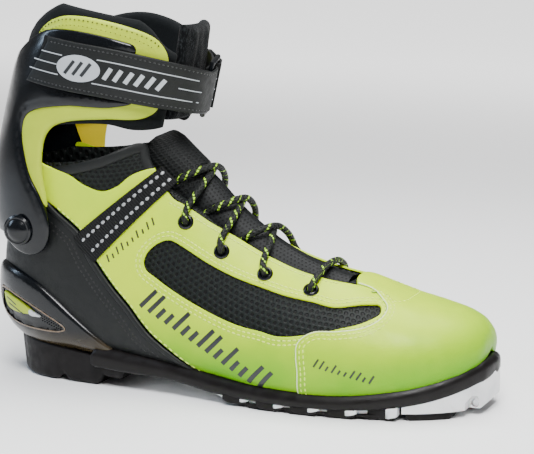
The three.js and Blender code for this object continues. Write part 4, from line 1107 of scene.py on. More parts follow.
toe_line = toe_cap_loop()
vamp_line = spline(ta_line([(0.300, -0.128), (0.285, -0.106), (0.262, -0.118), (0.243, -0.137),
    (0.226, -0.100), (0.222, -0.03), (0.222, 0.04), (0.228, 0.10), (0.243, 0.137), (0.262, 0.118),
        (0.285, 0.106), (0.300, 0.128)]), 1.3)
toe_cap = panel("toe_cap", foot, [toe_line], 0.35, 2.25, lime, edge=0.8, spacing=1.9,
    relief=grooves([vamp_line], 0.35, 0.5, closed=False))
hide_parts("toe_cap")
for side, word in ((-1, "lateral"), (1, "medial")):
    seam = spline(foot.side(TOE_SEAM, side), 1.2)
    way = -1 if side == -1 else 1
    rows = [offset(seam, way * 2.2)[10:], offset(seam, way * 4.3)[13:]]
    rows = [r[:-8] for r in rows]
    stitches(f"toe_stitches_{word}", foot, rows, 2.2, lime_thread, size=(0.95, 0.36, 0.3))
    edge_line = offset(seam, way * 0.35)
    ribbon(f"toe_cut_edge_{word}", foot, edge_line, 0.75, 1.75, 0.55, pale_edge)
stitches("vamp_stitches", foot, [offset(vamp_line, 1.4)], 2.15, lime_thread, size=(0.9, 0.3, 0.22))


def counter_loop():
    front = foot.side([(118, 8)] + COUNTER_FRONT[:0:-1] + [(-4, 110)])
    top = foot.side([(-14, 113), (-26, 113)])
    back = foot.uv(np.array([0.962]), np.array([-1.0]))
    low = ta_line([(0.858, -1.0), (0.835, -0.93), (0.80, -0.87), (0.76, -0.82), (0.70, -0.80),
        (0.63, -0.79), (0.56, -0.77), (0.52, -0.75)])
    outer = np.concatenate([front, top])
    loop = np.concatenate([outer, back, across_back(outer)[::-1], across_back(low)[::-1][:-1], low])
    n = len(outer)
    return smoothed(loop, 1.8, [0, len(front) - 1, 2 * n, 2 * n + 1 - len(front)])


counter = panel("counter", foot, [counter_loop()], 0.4, 2.3, matte_black, edge=1.0, spacing=2.4)
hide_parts("counter_wrap")
for side, word in ((-1, "lateral"), (1, "medial")):
    edge_line = spline(foot.side([(x, z) for x, z in COUNTER_FRONT], side), 1.2)
    way = 1 if side == -1 else -1
    ribbon(f"counter_rim_{word}", foot, offset(edge_line, way * 0.6), 3.4, 1.6, 1.35, matte_black)
    rows = [offset(edge_line, way * w) for w in (6.2, 9.0)]
    stitches(f"counter_stitches_{word}", foot, rows, 2.26, hole_black, pitch=2.5, size=(0.95, 0.55, 0.2))
    stitches(f"quarter_edge_stitches_{word}", foot, [offset(edge_line, -way * 3.0)[8:]], 1.62, lime_thread,
        pitch=3.1, size=(1.15, 0.42, 0.3))

# ------------------------------------------------------------------ webbing from the heel to the throat
for side, word in ((-1, "lateral"), (1, "medial")):
    a_range = (-0.49, -0.125) if side == -1 else (0.125, 0.49)
    band = shell(f"heel_tape_{word}", foot, (0.822, 0.878), a_range, 1.8, 3.1, tape, "boot", shape=(24, 90),
        rim=0.5)
    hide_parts(f"heel_tape_{word}")
    dashes = []
    for t in (0.838, 0.862):
        run = np.arange(0.14, 0.47, 3.9 / np.interp(t, foot.t, foot.L))
        dashes += [(t, side * a) for a in run]
    t, a = np.array(dashes).T
    P, Q, N = foot.at(t, a, 3.12), foot.at(t, a + 0.004, 3.12), foot.normal(t, a)
    beads(f"tape_dashes_{word}", P, Q - P, N, (1.3, 1.0, 0.2), silver_thread)

# ------------------------------------------------------------------ eyelets and lace
ring_points = np.linspace(0, 2 * np.pi, 33)[:-1]
for side, word in ((-1, "lateral"), (1, "medial")):
    for k, (t, a) in enumerate(EYELETS, 1):
        n = foot.normal(t, side * a)
        c = foot.at(t, side * a, 0.0)
        e = np.cross(n, [0, 1.0, 0])
        e /= np.linalg.norm(e)
        f = np.cross(n, e)
        profile = [(2.5, -2.2), (2.5, 1.9), (2.75, 2.55), (3.25, 2.8), (3.8, 2.62), (4.35, 2.1),
            (4.5, 1.66), (3.1, 1.62), (3.1, -2.2)]
        V = np.array([c + n * h + (e * math.cos(q) + f * math.sin(q)) * r for q in ring_points for r,
            h in profile])
        m = len(profile)
        faces = [(i * m + j, i * m + (j + 1) % m, ((i + 1) % 32) * m + (j + 1) % m, ((i + 1) % 32) * m + j)
            for i in range(32) for j in range(m)]
        o = make_closed(f"eyelet_{word}_{k}", V, faces, gloss, "boot", V[:, :2], sharp=40)
        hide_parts(f"eyelet_{word}_{k}")

LACE_RADIUS, LACE_UNDER, LACE_OVER = 1.95, -4.6, 3.9


def lace_path():
    """Bar over the lowest pair, then each half crosses the tongue and dips under the opposite panel."""

    def crossing(k, side, up):
        t, a = EYELETS[k]
        last = k == 3
        nt, na = (0.85, 0.155) if last else EYELETS[k + 1]
        mid = 4.7 if up else 1.7
        way = [(t, side * a, -2.6), (t, side * a, 0.4), (t + 0.001, side * a * 0.995, 3.4),
            (t + 0.014, side * a * 0.87, LACE_OVER + 0.3)]
        way += [(t + (nt - t) * 0.30, side * 0.09, (LACE_OVER + mid) / 2), (t + (nt - t) * 0.48, 0, mid)]
        way += [(t + (nt - t) * 0.62, -side * 0.055, mid - 0.9), (t + (nt - t) * 0.76, -side * 0.098, 0.4),
            (t + (nt - t) * 0.86, -side * 0.128, LACE_UNDER)]
        if last:
            way += [(nt, -side * na, LACE_UNDER), (nt + 0.015, -side * (na + 0.02), LACE_UNDER)]
        else:
            way += [(nt - 0.01, -side * na * 0.93, LACE_UNDER + 0.3)]
        return way

    def rest(side):
        points, s = [], side
        for k in (1, 2, 3):
            points += crossing(k, s, (k + (side > 0)) % 2 == 0)
            s = -s
        return points

    t, a = EYELETS[0]
    bar = [(t, f * a, 3.2 if abs(f) == 1 else 2.6 + 1.6 * abs(f)) for f in (-1, -0.9, -0.4, 0, 0.4, 0.9, 1)]

    def sink(side):
        return [(t, side * a, 0.3), (t, side * a, -2.6), (t + 0.02, side * a, LACE_UNDER),
            (EYELETS[1][0] - 0.03, side * EYELETS[1][1], LACE_UNDER)]

    route = rest(-1)[::-1] + sink(-1)[::-1] + bar + sink(1) + rest(1)
    t, a, h = np.array(route).T
    return spline(foot.at(t, a, h), 0.8)


lace = tube("lace", lace_path(), LACE_RADIUS, lace_braid, sides=14)
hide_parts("lace")

# ------------------------------------------------------------------ hard parts taken from the CAD shapes,
# with eased edges
def eased(node, material, body, width=0.4, sharp=34, segments=2):
    """A copy of a CAD node's shape with its edges rounded, that stands for the node."""
    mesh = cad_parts[node].data.copy()
    mesh.name = node + "_shape"
    mesh.materials.clear()
    mesh.materials.append(material)
    mesh.transform(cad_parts[node].matrix_world)
    bm = bmesh.new()
    bm.from_mesh(mesh)
    bmesh.ops.remove_doubles(bm, verts=bm.verts, dist=2e-6)
    bmesh.ops.dissolve_limit(bm, angle_limit=math.radians(1.5), verts=bm.verts, edges=bm.edges)
    bmesh.ops.triangulate(bm, faces=[f for f in bm.faces if len(f.verts) > 4])
    bmesh.ops.recalc_face_normals(bm, faces=bm.faces)
    bm.to_mesh(mesh)
    bm.free()
    mesh.polygons.foreach_set("use_smooth", [True] * len(mesh.polygons))
    mesh.set_sharp_from_angle(angle=math.radians(sharp))
    o = bpy.data.objects.new(node + "_look", mesh)
    bpy.context.scene.collection.objects.link(o)
    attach(o, body)
    if width:
        m = o.modifiers.new("ease", "BEVEL")
        m.width, m.segments, m.limit_method, m.angle_limit = width * MM, segments, "ANGLE", math.radians(sharp)
        m.harden_normals = True
    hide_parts(node)
    return o


for node, material, slot, width in (
    ("toe_plate", nylon, "white_plastic", 0.5),
    ("binding_bar", bar_steel, "steel", 0.2),
    ("forefoot_tread", sole_rubber, "black_rubber", 0.4),
    ("toe_tread", sole_rubber, "black_rubber", 0.4),
    ("footbed", insole_cloth, "insole", 0),
):
    eased(node, material, "boot", width)


# ------------------------------------------------------------------ sole
SOLE_PLAN = [
    (-42.5, 0, 0), (-40, 13, 13), (-34, 22, 22), (-24, 29, 29), (-8, 33.5, 33.5), (15, 35.5, 35.5),
        (45, 37, 35.5),
    (75, 39, 35.5), (102, 42.5, 37.5), (129, 46.5, 42), (155, 48.8, 46.5), (179, 47.6, 49.2),
        (201, 43.2, 48.6),
    (221, 36.5, 44.6), (235, 28, 38.8), (244, 19.5, 32), (250, 11.5, 25), (254, 2.5, 16.5), (255.5, -7, 7),
]
RAND = [
    (-42.5, 30, 24), (-30, 27, 14), (0, 24, 12.5), (30, 21.5, 11.5), (45, 20, 10.5), (80, 17, 9),
        (105, 13.5, 5.6), (130, 11.5, 4.4),
    (155, 10.8, 4.2), (179, 11.2, 4.6), (200, 13.5, 5.8), (219, 17, 8.6), (235, 21.5, 12),
        (245, 25.5, 15.5), (256, 30.5, 20.5),
]
HEEL_PLAN = [(-33.5, 0, 0), (-31.5, 9, 9), (-26, 17.5, 17.5), (-16, 25.5, 25.5), (-2, 30, 30), (15, 32, 32),
    (34, 33.5, 32.5), (47, 34, 32.5)]


def plan_loop(rows, x0, x1, inset=0.0, spacing=2.2):
    """Plan outline between two stations, from the outer side forwards, round, and back along the inner
    side."""
    rows = np.array(rows, float)
    x = np.unique(np.concatenate([rows[:, 0], (rows[1:, 0] + rows[:-1, 0]) / 2]))
    x = np.clip(x, x0, x1)
    x = np.unique(np.concatenate([x, [x0, x1]]))
    outer, inner = -hermite(rows[:, 0], rows[:, 1], x), hermite(rows[:, 0], rows[:, 2], x)
    ok = inner - outer > 1.0
    loop = np.concatenate([np.stack([x[ok], outer[ok]], 1), np.stack([x[ok], inner[ok]], 1)[::-1]])
    n = ok.sum()
    corners = []
    if x0 > rows[0, 0] + 1:
        corners += [0, 2 * n - 1]
    if x1 < rows[-1, 0] - 1:
        corners += [n - 1, n]
    loop = spline(loop, spacing, closed=True, corners=sorted(corners))
    return offset(loop, inset, closed=True) if inset else loop


def slab(name, loops, top, bottom, material, body="boot", round_top=2.0, round_bottom=2.0, draft=0.0,
        spacing=3.0, only_outer=False):
    """A block between two heights over plan loops, with its outer edges rounded; top and bottom take (x,
    y)."""
    reach = max(round_top, round_bottom)
    flat, tris = triangulate(loops, spacing, [reach * f for f in (0.06, 0.2, 0.45, 0.75, 1.0)])
    d = distance(flat, loops[:1] if only_outer else loops)
    x, y = flat.T
    zt, zb = top(x, y), bottom(x, y)
    for_round = lambda r: r * (1 - np.sqrt(np.clip(1 - np.clip(1 - d / r, 0, 1) ** 2, 0, 1)))
    half = (zt - zb) * 0.48
    zt2, zb2 = zt - np.minimum(for_round(round_top), half), zb + np.minimum(for_round(round_bottom), half)
    centre = flat.mean(axis=0)
    away = flat - centre
    away /= np.maximum(np.linalg.norm(away, axis=1, keepdims=True), 1e-9)
    edge = np.clip(1 - d / 6, 0, 1)[:, None]
    low = flat - away * draft * edge
    V = np.concatenate([np.column_stack([flat, zt2]), np.column_stack([low, zb2])])
    n = len(flat)
    edges = {(a, b): 1 for p, q, r in tris for a, b in ((p, q), (q, r), (r, p))}
    faces = [tuple(t) for t in tris] + [tuple(n + k for k in t[::-1]) for t in tris]
    faces += [(b, a, n + a, n + b) for a, b in edges if (b, a) not in edges]
    o = make_closed(name, V, faces, material, body, np.concatenate([flat, flat]), merge=1e-8, sharp=45)
    return o


def table(rows, k):
    rows = np.array(rows, float)
    return lambda x, y=None: hermite(rows[:, 0], rows[:, k], np.clip(x, rows[0, 0], rows[-1, 0]))


rand_top, rand_low = table(RAND, 1), table(RAND, 2)
rand_outer = plan_loop(SOLE_PLAN, 26, 255.3)


def inset_loop(x0, x1, inset, spacing=2.2):
    """The sole's plan outline moved in by a distance, whichever way round the outline runs."""
    loop = plan_loop(SOLE_PLAN, x0, x1, inset, spacing)
    return loop if inside(loop[:1], [rand_outer])[0] else plan_loop(SOLE_PLAN, x0, x1, -inset, spacing)


rand_inner = inset_loop(29, 255.3, 8.5, 3.0)


def rand_crown(x, y):
    """The rand's top leans in towards the upper."""
    d = distance(np.column_stack([x, y]), [rand_outer])
    return rand_top(x) + 0.55 * np.minimum(d, 5)


rand = slab("rand", [rand_outer, rand_inner], rand_crown, rand_low, rand_rubber, round_top=3.6,
    round_bottom=2.2, spacing=3.2, only_outer=True)
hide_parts("rand")
sole_plate = slab("sole_plate", [inset_loop(46, 214, 3.6)], lambda x, y: rand_low(x) + 1.0, lambda x,
    y: rand_low(x) - 0.4 - 1.9 * np.clip((x - 104) / 8, 0, 1), nylon, round_top=0.4, round_bottom=0.6)
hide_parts("shank_plate")


def heel_low(x, y):
    """The heel block's underside: two long lugs and a short one, with two grooves along it."""
    z = np.interp(x, [-34, -31, -26, -2, 1, 3.6, 5.4, 8, 11, 27.5, 30.5, 32.5, 35, 44, 47],
        [7, 2.6, 0.4, 0, 0.6, 3.4, 3.4, 0.8, 0, 0, 3, 6.4, 5.2, 5.2, 9])
    groove = np.clip(1 - (np.abs(np.abs(y) - 9.2) - 2.4) / 0.8, 0, 1)
    return z + 3.2 * groove


heel_block = slab("heel_block", [plan_loop(HEEL_PLAN, -33.5, 47, 0, 1.6)], lambda x,
    y: 24.0 - 0.11 * (x + 30), heel_low, sole_rubber, round_top=1.0, round_bottom=3.4, draft=1.6, spacing=1.7)
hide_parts("heel_tread")

for side in (-1, 1):
    for k, (x, low) in enumerate(((121, 1.6), (142, 0.9), (162.5, 1.0), (183.5, 0.8), (205, 0.15))):
        y_edge = float(hermite(*np.array(SOLE_PLAN).T[[0, 1 if side == -1 else 2]], np.array([x]))[0])
        y1, y0 = y_edge - 1.0, y_edge - 15
        outline = spline(np.array([(x - 9, side * y1), (x + 6.5, side * (y1 - (0.8 if x > 190 else 0))),
            (x + 5.5, side * y0), (x - 7, side * y0)]), 1.2, closed=True, corners=(0, 1, 2, 3))
        lug_low = lambda X, Y, x=x, low=low: low + 0.055 * np.clip(np.abs(X - x + 1) - 3, 0, 9) ** 2
        slab(f"lug_{'lateral' if side == -1 else 'medial'}_{k}", [outline], lambda X, Y: rand_low(X) + 1.6,
            lug_low, sole_rubber, round_top=0.2, round_bottom=1.0, spacing=2.0)
        patch = spline(np.array([(x + 1.5, side * (y1 + 0.5)), (x + 7.6, side * (y1 + 0.1)),
            (x + 7.4, side * (y1 - 6)), (x + 1.5, side * (y1 - 6))]), 1.2, closed=True, corners=(0, 1, 2, 3))
        slab(f"plate_tooth_{'lateral' if side == -1 else 'medial'}_{k}", [patch], lambda X,
            Y: rand_low(X) + 0.4, lambda X, Y, x=x,
                low=low: low + 1.4 + 0.12 * np.clip(X - x - 2, 0, 9) ** 1.4, nylon, round_top=0.2,
                    round_bottom=0.3, spacing=1.6)

# ------------------------------------------------------------------ heel cup with its badge
CUP_TOP = [(-34, 67), (-22, 65), (-7, 59), (5, 51), (15, 43), (25, 35), (36, 26.5), (46, 21), (52, 18)]
RECESS = [(-33, 52), (-24, 51.5), (-12, 47), (0, 41.5), (9, 37), (11.5, 34.8), (8, 33.2), (-3, 32.6),
    (-15, 33.2), (-26, 35.5), (-33, 40)]
BADGE = [(-32, 49.5), (-26, 49), (-17, 46), (-10, 42), (-8, 40.6), (-14, 39.8), (-23, 40), (-30, 42)]


def cup_loop():
    top = foot.side(CUP_TOP)[::-1]
    low = foot.side([(52, 15), (30, 16), (10, 17.5), (-10, 18.5), (-24, 20), (-32, 21.5)])
    ts = np.linspace(0.9, 0.7, 200)
    heights = foot.at(ts, -np.ones(200), 0)[:, 2]
    low_t = ts[int(np.argmax(heights < 22.5))]
    back_top, back_low = foot.uv(np.array([0.915]), np.array([-1.0])), foot.uv(np.array([low_t]),
        np.array([-1.0]))
    front = np.concatenate([low[::-1], top])
    loop = np.concatenate([front, back_top, across_back(front)[::-1], back_low])
    n = len(front)
    return smoothed(loop, 1.5, [4, 5, n + 1 + (n - 6), n + 1 + (n - 5)])


recess_lines = {side: spline(foot.side(RECESS, side), 1.0, closed=True) for side in (-1, 1)}
recess_lines[1] = across_back(recess_lines[-1])


def cup_relief(flat, d):
    swell = 1.3 * (1 - np.exp(-d / 5.0))
    dip = np.zeros(len(flat))
    for line in recess_lines.values():
        near = distance(flat, [line])
        within = inside(flat, [line])
        dip -= np.where(within, 2.0 * np.clip(near / 0.8, 0, 1), 0)
    return swell + dip


cup = panel("heel_cup", foot, [cup_loop()], 1.9, 4.6, cup_gloss, edge=2.4, spacing=1.5, relief=cup_relief)
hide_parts("heel_cup")
for side, word in ((-1, "lateral"), (1, "medial")):
    line = recess_lines[side]
    ribbon(f"recess_rim_{word}", foot, line, 0.7, 5.75, 0.28, bronze, closed=True)
    shape = spline(foot.side(BADGE), 1.0, closed=True)
    shape = shape if side == -1 else across_back(shape)
    badge = panel(f"badge_{word}", foot, [shape], 3.2, 5.2, inlay, edge=0.8, spacing=1.3)
    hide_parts(f"badge_{word}")
    tip = spline(foot.side([(-12.5, 43.2), (-9.5, 41.7), (-5, 39.3), (-8, 39.1), (-13, 39.6)]), 0.8,
        closed=True)
    tip = tip if side == -1 else across_back(tip)
    panel(f"badge_tip_{word}", foot, [tip], 3.3, 5.3, silver_print, edge=0.5, spacing=1.2)
    dots = foot.side([(x, 38.0 - 0.30 * (x + 4) + dz) for x in np.arange(-4.5, 8.5, 1.5)
        for dz in (-1.4, 0.0, 1.4)])
    dots = dots if side == -1 else across_back(dots)
    P, Q, N = foot.at(*foot.ta(dots), 3.95), foot.at(*foot.ta(dots + [0.5, 0]),
        3.95), foot.normal(*foot.ta(dots))
    beads(f"recess_studs_{word}", P, Q - P, N, (0.42, 0.42, 0.5), gloss)
    bars = []
    for k, (x, z, length) in enumerate(((-29, 47, 7), (-28, 44, 11))):
        run = foot.side([(x, z), (x + length / 2, z - 0.18 * length), (x + length, z - 0.42 * length)])
        run = run if side == -1 else across_back(run)
        ribbon(f"badge_bar_{word}_{k}", foot, spline(run, 0.8), 0.8, 5.1, 0.25, black_print)

# ------------------------------------------------------------------ rivets
def lathe_y(name, profile, x, z, side, material, body, sides=40):
    """A turned piece about a line along Y: (radius, distance from the middle plane) points."""
    q = np.linspace(0, 2 * np.pi, sides + 1)[:-1]
    V = np.array([(x + r * math.cos(w), side * y, z + r * math.sin(w)) for w in q for r, y in profile])
    m = len(profile)
    faces = [(i * m + j, i * m + (j + 1) % m, ((i + 1) % sides) * m + (j + 1) % m,
        ((i + 1) % sides) * m + j) for i in range(sides) for j in range(m)]
    return make_closed(name, V, faces, material, body, V[:, [0, 2]], merge=1e-5, sharp=40)


for side, word in ((-1, "lateral"), (1, "medial")):
    dome = [(0, 30), (4.1, 30), (4.1, 42.7), (8.4, 42.7), (8.9, 43.3), (8.7, 44.4), (7.6, 45.2),
        (6.6, 45.0), (6.2, 45.2), (5.2, 46.2), (3.0, 47.0), (0, 47.2)]
    rivet = lathe_y(f"rivet_{word}", dome, -15, 90, side, gloss, "boot")
    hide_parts(f"ankle_rivet_{word}")
    eased(f"ankle_bush_{word}", matte_black, "boot", 0.2)

# ------------------------------------------------------------------ cuff
FRAME_OUTLINE = [
    (-27, 86), (-20, 79), (-9, 75.5), (0, 79), (4.5, 88), (4, 98), (-1, 111), (-7, 122), (-10.5, 134),
        (-12, 146),
    (-9.5, 154.5), (-3, 159), (18, 163), (43, 163), (54, 165.7), (45, 168.5), (24, 171.5), (10, 175),
        (6, 180), (10, 186),
    (20, 190), (40, 191.5), (57, 193), (57, 197.5), (50, 200.5), (34, 204), (18, 205.5), (5, 204),
        (-8, 199), (-20, 190),
]
PLATE_OUTLINE = [
    (2, 104), (-0.5, 124), (0, 135), (2.5, 144.5), (8, 150.5), (18, 154), (39, 156), (58, 156.5), (64, 161),
        (67.5, 172), (71, 190),
    (68.5, 199), (63, 204), (50, 209), (26.5, 213), (12.8, 212), (1, 205.5), (-8, 192), (-14, 176),
        (-18, 150), (-14, 130), (-6, 112),
]
PAD_TOP = [(-60, 192), (-24, 194), (-16, 205.5), (-6, 213.5), (6, 219), (19, 222), (32, 222), (46, 218.5),
    (58, 213), (66, 207), (73, 197), (90, 186)]
PAD_SLANT = 0.15
PAD_BOTTOM = [(-60, 146), (-20, 148), (0, 150), (20, 152), (40, 152), (54, 148.5), (66, 149), (72, 153),
    (78, 156), (84, 160), (92, 168)]
FLAP_TOP = [(40, 205), (66, 212), (77, 212.5), (88, 210), (98, 206), (110, 204)]
FLAP_BOTTOM = [(40, 160), (60, 155), (76, 152.5), (84, 153.5), (98, 157), (110, 160)]


def around(pairs):
    """Continues a flat line of the outer side round the back of the shank."""
    t, a = shank.ta(pairs)
    return shank.uv(t, -2 - a)


def inner_side(points, share=1.0):
    """The outlines as they are on the inner side, where their upper parts sit lower."""
    return [(x, z - share * (12 * np.clip((z - 172) / 33.5, 0, 1) if x > -15
        else 8 * np.clip((z - 172) / 18, 0, 1))) for x, z in points]


def frame_loop():
    side_line, far_line = shank.side(FRAME_OUTLINE[:-2]
        + [(-20, 188), (-60, 187)]), shank.side(inner_side(FRAME_OUTLINE))
    low, top = shank.uv(np.array([0.035]), np.array([-1.0])), shank.uv(np.array([0.9]), np.array([-1.0]))
    loop = np.concatenate([low, side_line, top, around(far_line)[::-1]])
    n = len(side_line)
    return smoothed(loop, 1.5, [1, n, n + 2, 2 * n + 1])


frame_line = frame_loop()


def frame_relief(flat, d):
    return 1.0 * (1 - np.exp(-d / 4.0)) - 0.35 * np.exp(-(((d - 3.4) / 0.8) ** 2))


cuff_shell = panel("cuff_frame", shank, [frame_line], 2.2, 4.4, gloss, "cuff", edge=1.3, spacing=1.9,
    relief=frame_relief)
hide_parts("cuff_frame")

for side, word in ((-1, "lateral"), (1, "medial")):
    outline = spline(shank.side(PLATE_OUTLINE if side == -1 else inner_side(PLATE_OUTLINE), side), 1.4,
        closed=True)

    def plate_relief(flat, d, side=side):
        P = shank.at(*shank.ta(flat), 0)
        high = np.clip((P[:, 2] - 190) / 6, 0, 1)
        groove = sum(np.exp(-(((d - w) / 0.45) ** 2)) for w in (3.4, 6.9, 10.2))
        low_end = np.clip((168 - P[:, 2]) / 4, 0, 1) * np.clip((P[:, 0] - 48) / 6, 0, 1)
        curl = sum(np.exp(-(((d - w) / 0.6) ** 2)) for w in (3.6, 6.4))
        return 0.9 * (1 - np.exp(-d / 3.0)) - 0.45 * groove * high - 0.4 * curl * low_end

    plate = panel(f"cuff_plate_{word}", shank, [outline], 0.3, 2.5, inlay, "cuff", edge=1.5, spacing=1.4,
        relief=plate_relief)
    plate.data.materials.append(yellow_nylon)
    middle = np.array([tuple(p.center) for p in plate.data.polygons]) / MM
    facing = np.array([tuple(p.normal) for p in plate.data.polygons])
    inward = facing[:, 1] * np.sign(middle[:, 1]) < -0.25
    plate.data.polygons.foreach_set("material_index", inward.astype(int).tolist())
    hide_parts(f"cuff_plate_{word}")
    way = 1 if inside(offset(outline, 0.5, closed=True)[:1], [outline])[0] else -1
    holes = []
    for w in (2.0, 5.2):
        row = offset(outline, way * w, closed=True)
        P = shank.at(*shank.ta(row), 0)
        row = row[(P[:, 2] > 196) & (P[:, 0] > -4) & (P[:, 0] < 74)]
        order = np.argsort(shank.at(*shank.ta(row), 0)[:, 0])
        holes.append(row[order][::2])
    holes = np.concatenate(holes)
    P, Q, N = (shank.at(*shank.ta(h), 3.05) for h in (holes, holes + [0, 0.5], holes))
    beads(f"plate_holes_{word}", P, Q - P, shank.normal(*shank.ta(holes)), (0.42, 0.42, 0.3), hole_black,
        "cuff")


def smooth_line(x, z):
    """A side-view height line without its corners."""
    line = spline(np.stack([x, z], axis=1), 1.0)
    order = np.argsort(line[:, 0], kind="stable")
    return line[order, 0], line[order, 1]


def sleeve(name, a0, a1, top, bottom, low, high, material, columns=150, rows=60, puff=None, rim=3.4,
        body="cuff", slant=0.0):
    """Padding on the shank between two side-view lines, with its edges rolled in."""
    A = np.linspace(a0, a1, columns)
    T = np.linspace(shank.t[0], shank.t[-1], 300)
    wrapped = np.where(A < -1, A + 2, A)
    P = shank.at(T[:, None], wrapped[None, :], 0)
    (xt, zt), (xb, zb) = np.array(top, float).T, np.array(bottom, float).T
    top_line, low_line = smooth_line(xt, zt), smooth_line(xb, zb)
    over = P[..., 2] + slant * (P[..., 1] + 42) - np.interp(P[..., 0], *top_line)
    under = P[..., 2] - np.interp(P[..., 0], *low_line)
    t_top = np.array([np.interp(0, over[:, k], T) for k in range(columns)])
    t_low = np.array([np.interp(0, under[:, k], T) for k in range(columns)])
    s = np.concatenate([[0, 0.006, 0.02, 0.045], np.linspace(0.08, 0.92, rows), [0.955, 0.98, 0.994, 1]])
    tt = t_low[None, :] + (t_top - t_low)[None, :] * s[:, None]
    aa = np.repeat(wrapped[None, :], len(s), 0)
    scale_t = (shank.u[-1] - shank.u[0]) / (shank.t[-1] - shank.t[0])
    girth = np.interp(tt, shank.t, shank.L)
    d_ends = np.minimum(s[:, None], 1 - s[:, None]) * (t_top - t_low)[None, :] * scale_t
    d_sides = np.minimum(A - a0, a1 - A)[None, :] * girth
    d = np.minimum(d_ends, d_sides)
    roll = np.sqrt(np.clip(1 - np.clip(1 - d / rim, 0, 1) ** 2, 0, 1))
    hi, lo = np.full(tt.shape, float(high)), np.full(tt.shape, float(low))
    if puff is not None:
        hi = hi + puff(tt, np.repeat(A[None, :], len(s), 0), d)
    mid = (hi + lo) / 2
    outer, inner = shank.at(tt, aa, mid + (hi - mid) * roll), shank.at(tt, aa, mid + (lo - mid) * roll)
    m, n = tt.shape
    ix = np.arange(m * n).reshape(m, n)
    V = np.concatenate([outer.reshape(-1, 3), inner.reshape(-1, 3)])
    uv = np.stack([np.interp(tt, shank.t, shank.u), A[None, :] * girth], axis=-1).reshape(-1, 2)
    faces = []
    for i in range(m - 1):
        for j in range(n - 1):
            a, b, c, e = ix[i, j], ix[i, j + 1], ix[i + 1, j + 1], ix[i + 1, j]
            faces += [(a, b, c, e), (m * n + e, m * n + c, m * n + b, m * n + a)]
    edge = [ix[i, 0] for i in range(m)] + [ix[m - 1, j] for j in range(1, n)] + [ix[i, n - 1]
        for i in range(m - 2, -1, -1)]
    edge += [ix[0, j] for j in range(n - 2, 0, -1)]
    faces += [(a, b, m * n + b, m * n + a) for a, b in zip(edge, edge[1:] + edge[:1])]
    return make_closed(name, V, faces, material, body, np.concatenate([uv, uv]), merge=1e-8, sharp=70)


def pad_puff(tt, aa, d):
    """The pad is sewn down along a line round its wings, and swells between."""
    seam = np.exp(-(((d - 8.5) / 1.6) ** 2))
    return 0.8 * np.clip(d / 5, 0, 1) - 0.9 * seam * (np.abs(aa) < 0.3)


pad = sleeve("cuff_pad", -1.852, -0.119, PAD_TOP, PAD_BOTTOM, -7.2, 0.1, pad_cloth, columns=240, rows=70,
    puff=pad_puff, rim=4.6, slant=PAD_SLANT)
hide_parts("cuff_pad")


def flap_folds(tt, aa, d):
    """Upright folds down the soft front."""
    wave = np.sin(aa * 62 + 1.2 * np.sin(tt * 9)) * 0.5 + 0.3 * np.sin(aa * 118 + tt * 7)
    return 1.1 * wave * np.clip(d / 6, 0, 1) + 0.5 * np.clip(d / 5, 0, 1)


flap = sleeve("front_flap", -0.116, 0.141, FLAP_TOP, FLAP_BOTTOM, -6.3, 1.0, flap_cloth, columns=110,
    rows=80, puff=flap_folds, rim=3.4)
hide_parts("front_flap")

# ------------------------------------------------------------------ strap
GIRTH = 148.0
STRAP_RUN = [(0, 0.838, 1.038), (0.15, 0.86, 1.075), (0.35, 0.877, 1.105), (0.55, 0.868, 1.098),
    (0.85, 0.855, 1.08)]


def strap_t(f, a):
    low, high = (hermite(*np.array(STRAP_RUN).T[[0, k]], np.minimum(np.abs(a), 0.85)) for k in (1, 2))
    return low + f * (high - low)


def strap_at(f, a, h):
    return shank.at(strap_t(f, a), a, h)


def strap_a(x, f=0.5):
    """Where the strap's line f passes a side-view x."""
    A = np.linspace(-0.85, 0.05, 400)
    return np.interp(x, strap_at(f, A, 7.5)[:, 0], A)


def strap_end(f):
    """The slanted free end."""
    A = np.linspace(-0.85, -0.3, 400)
    P = strap_at(f, A, 7.7)
    return np.interp(0, P[:, 0] - np.interp(P[:, 2], [150, 173, 198.5, 220], [-10.5, -10, 8, 9]), A)


def strap_rise(a):
    w = np.clip((np.abs(a) - 0.04) / 0.1267, 0, 1)
    w = np.where(a > -0.04, 0.0, w * w * (3 - 2 * w))
    return 7.1 + 3.4 * (1 - w)


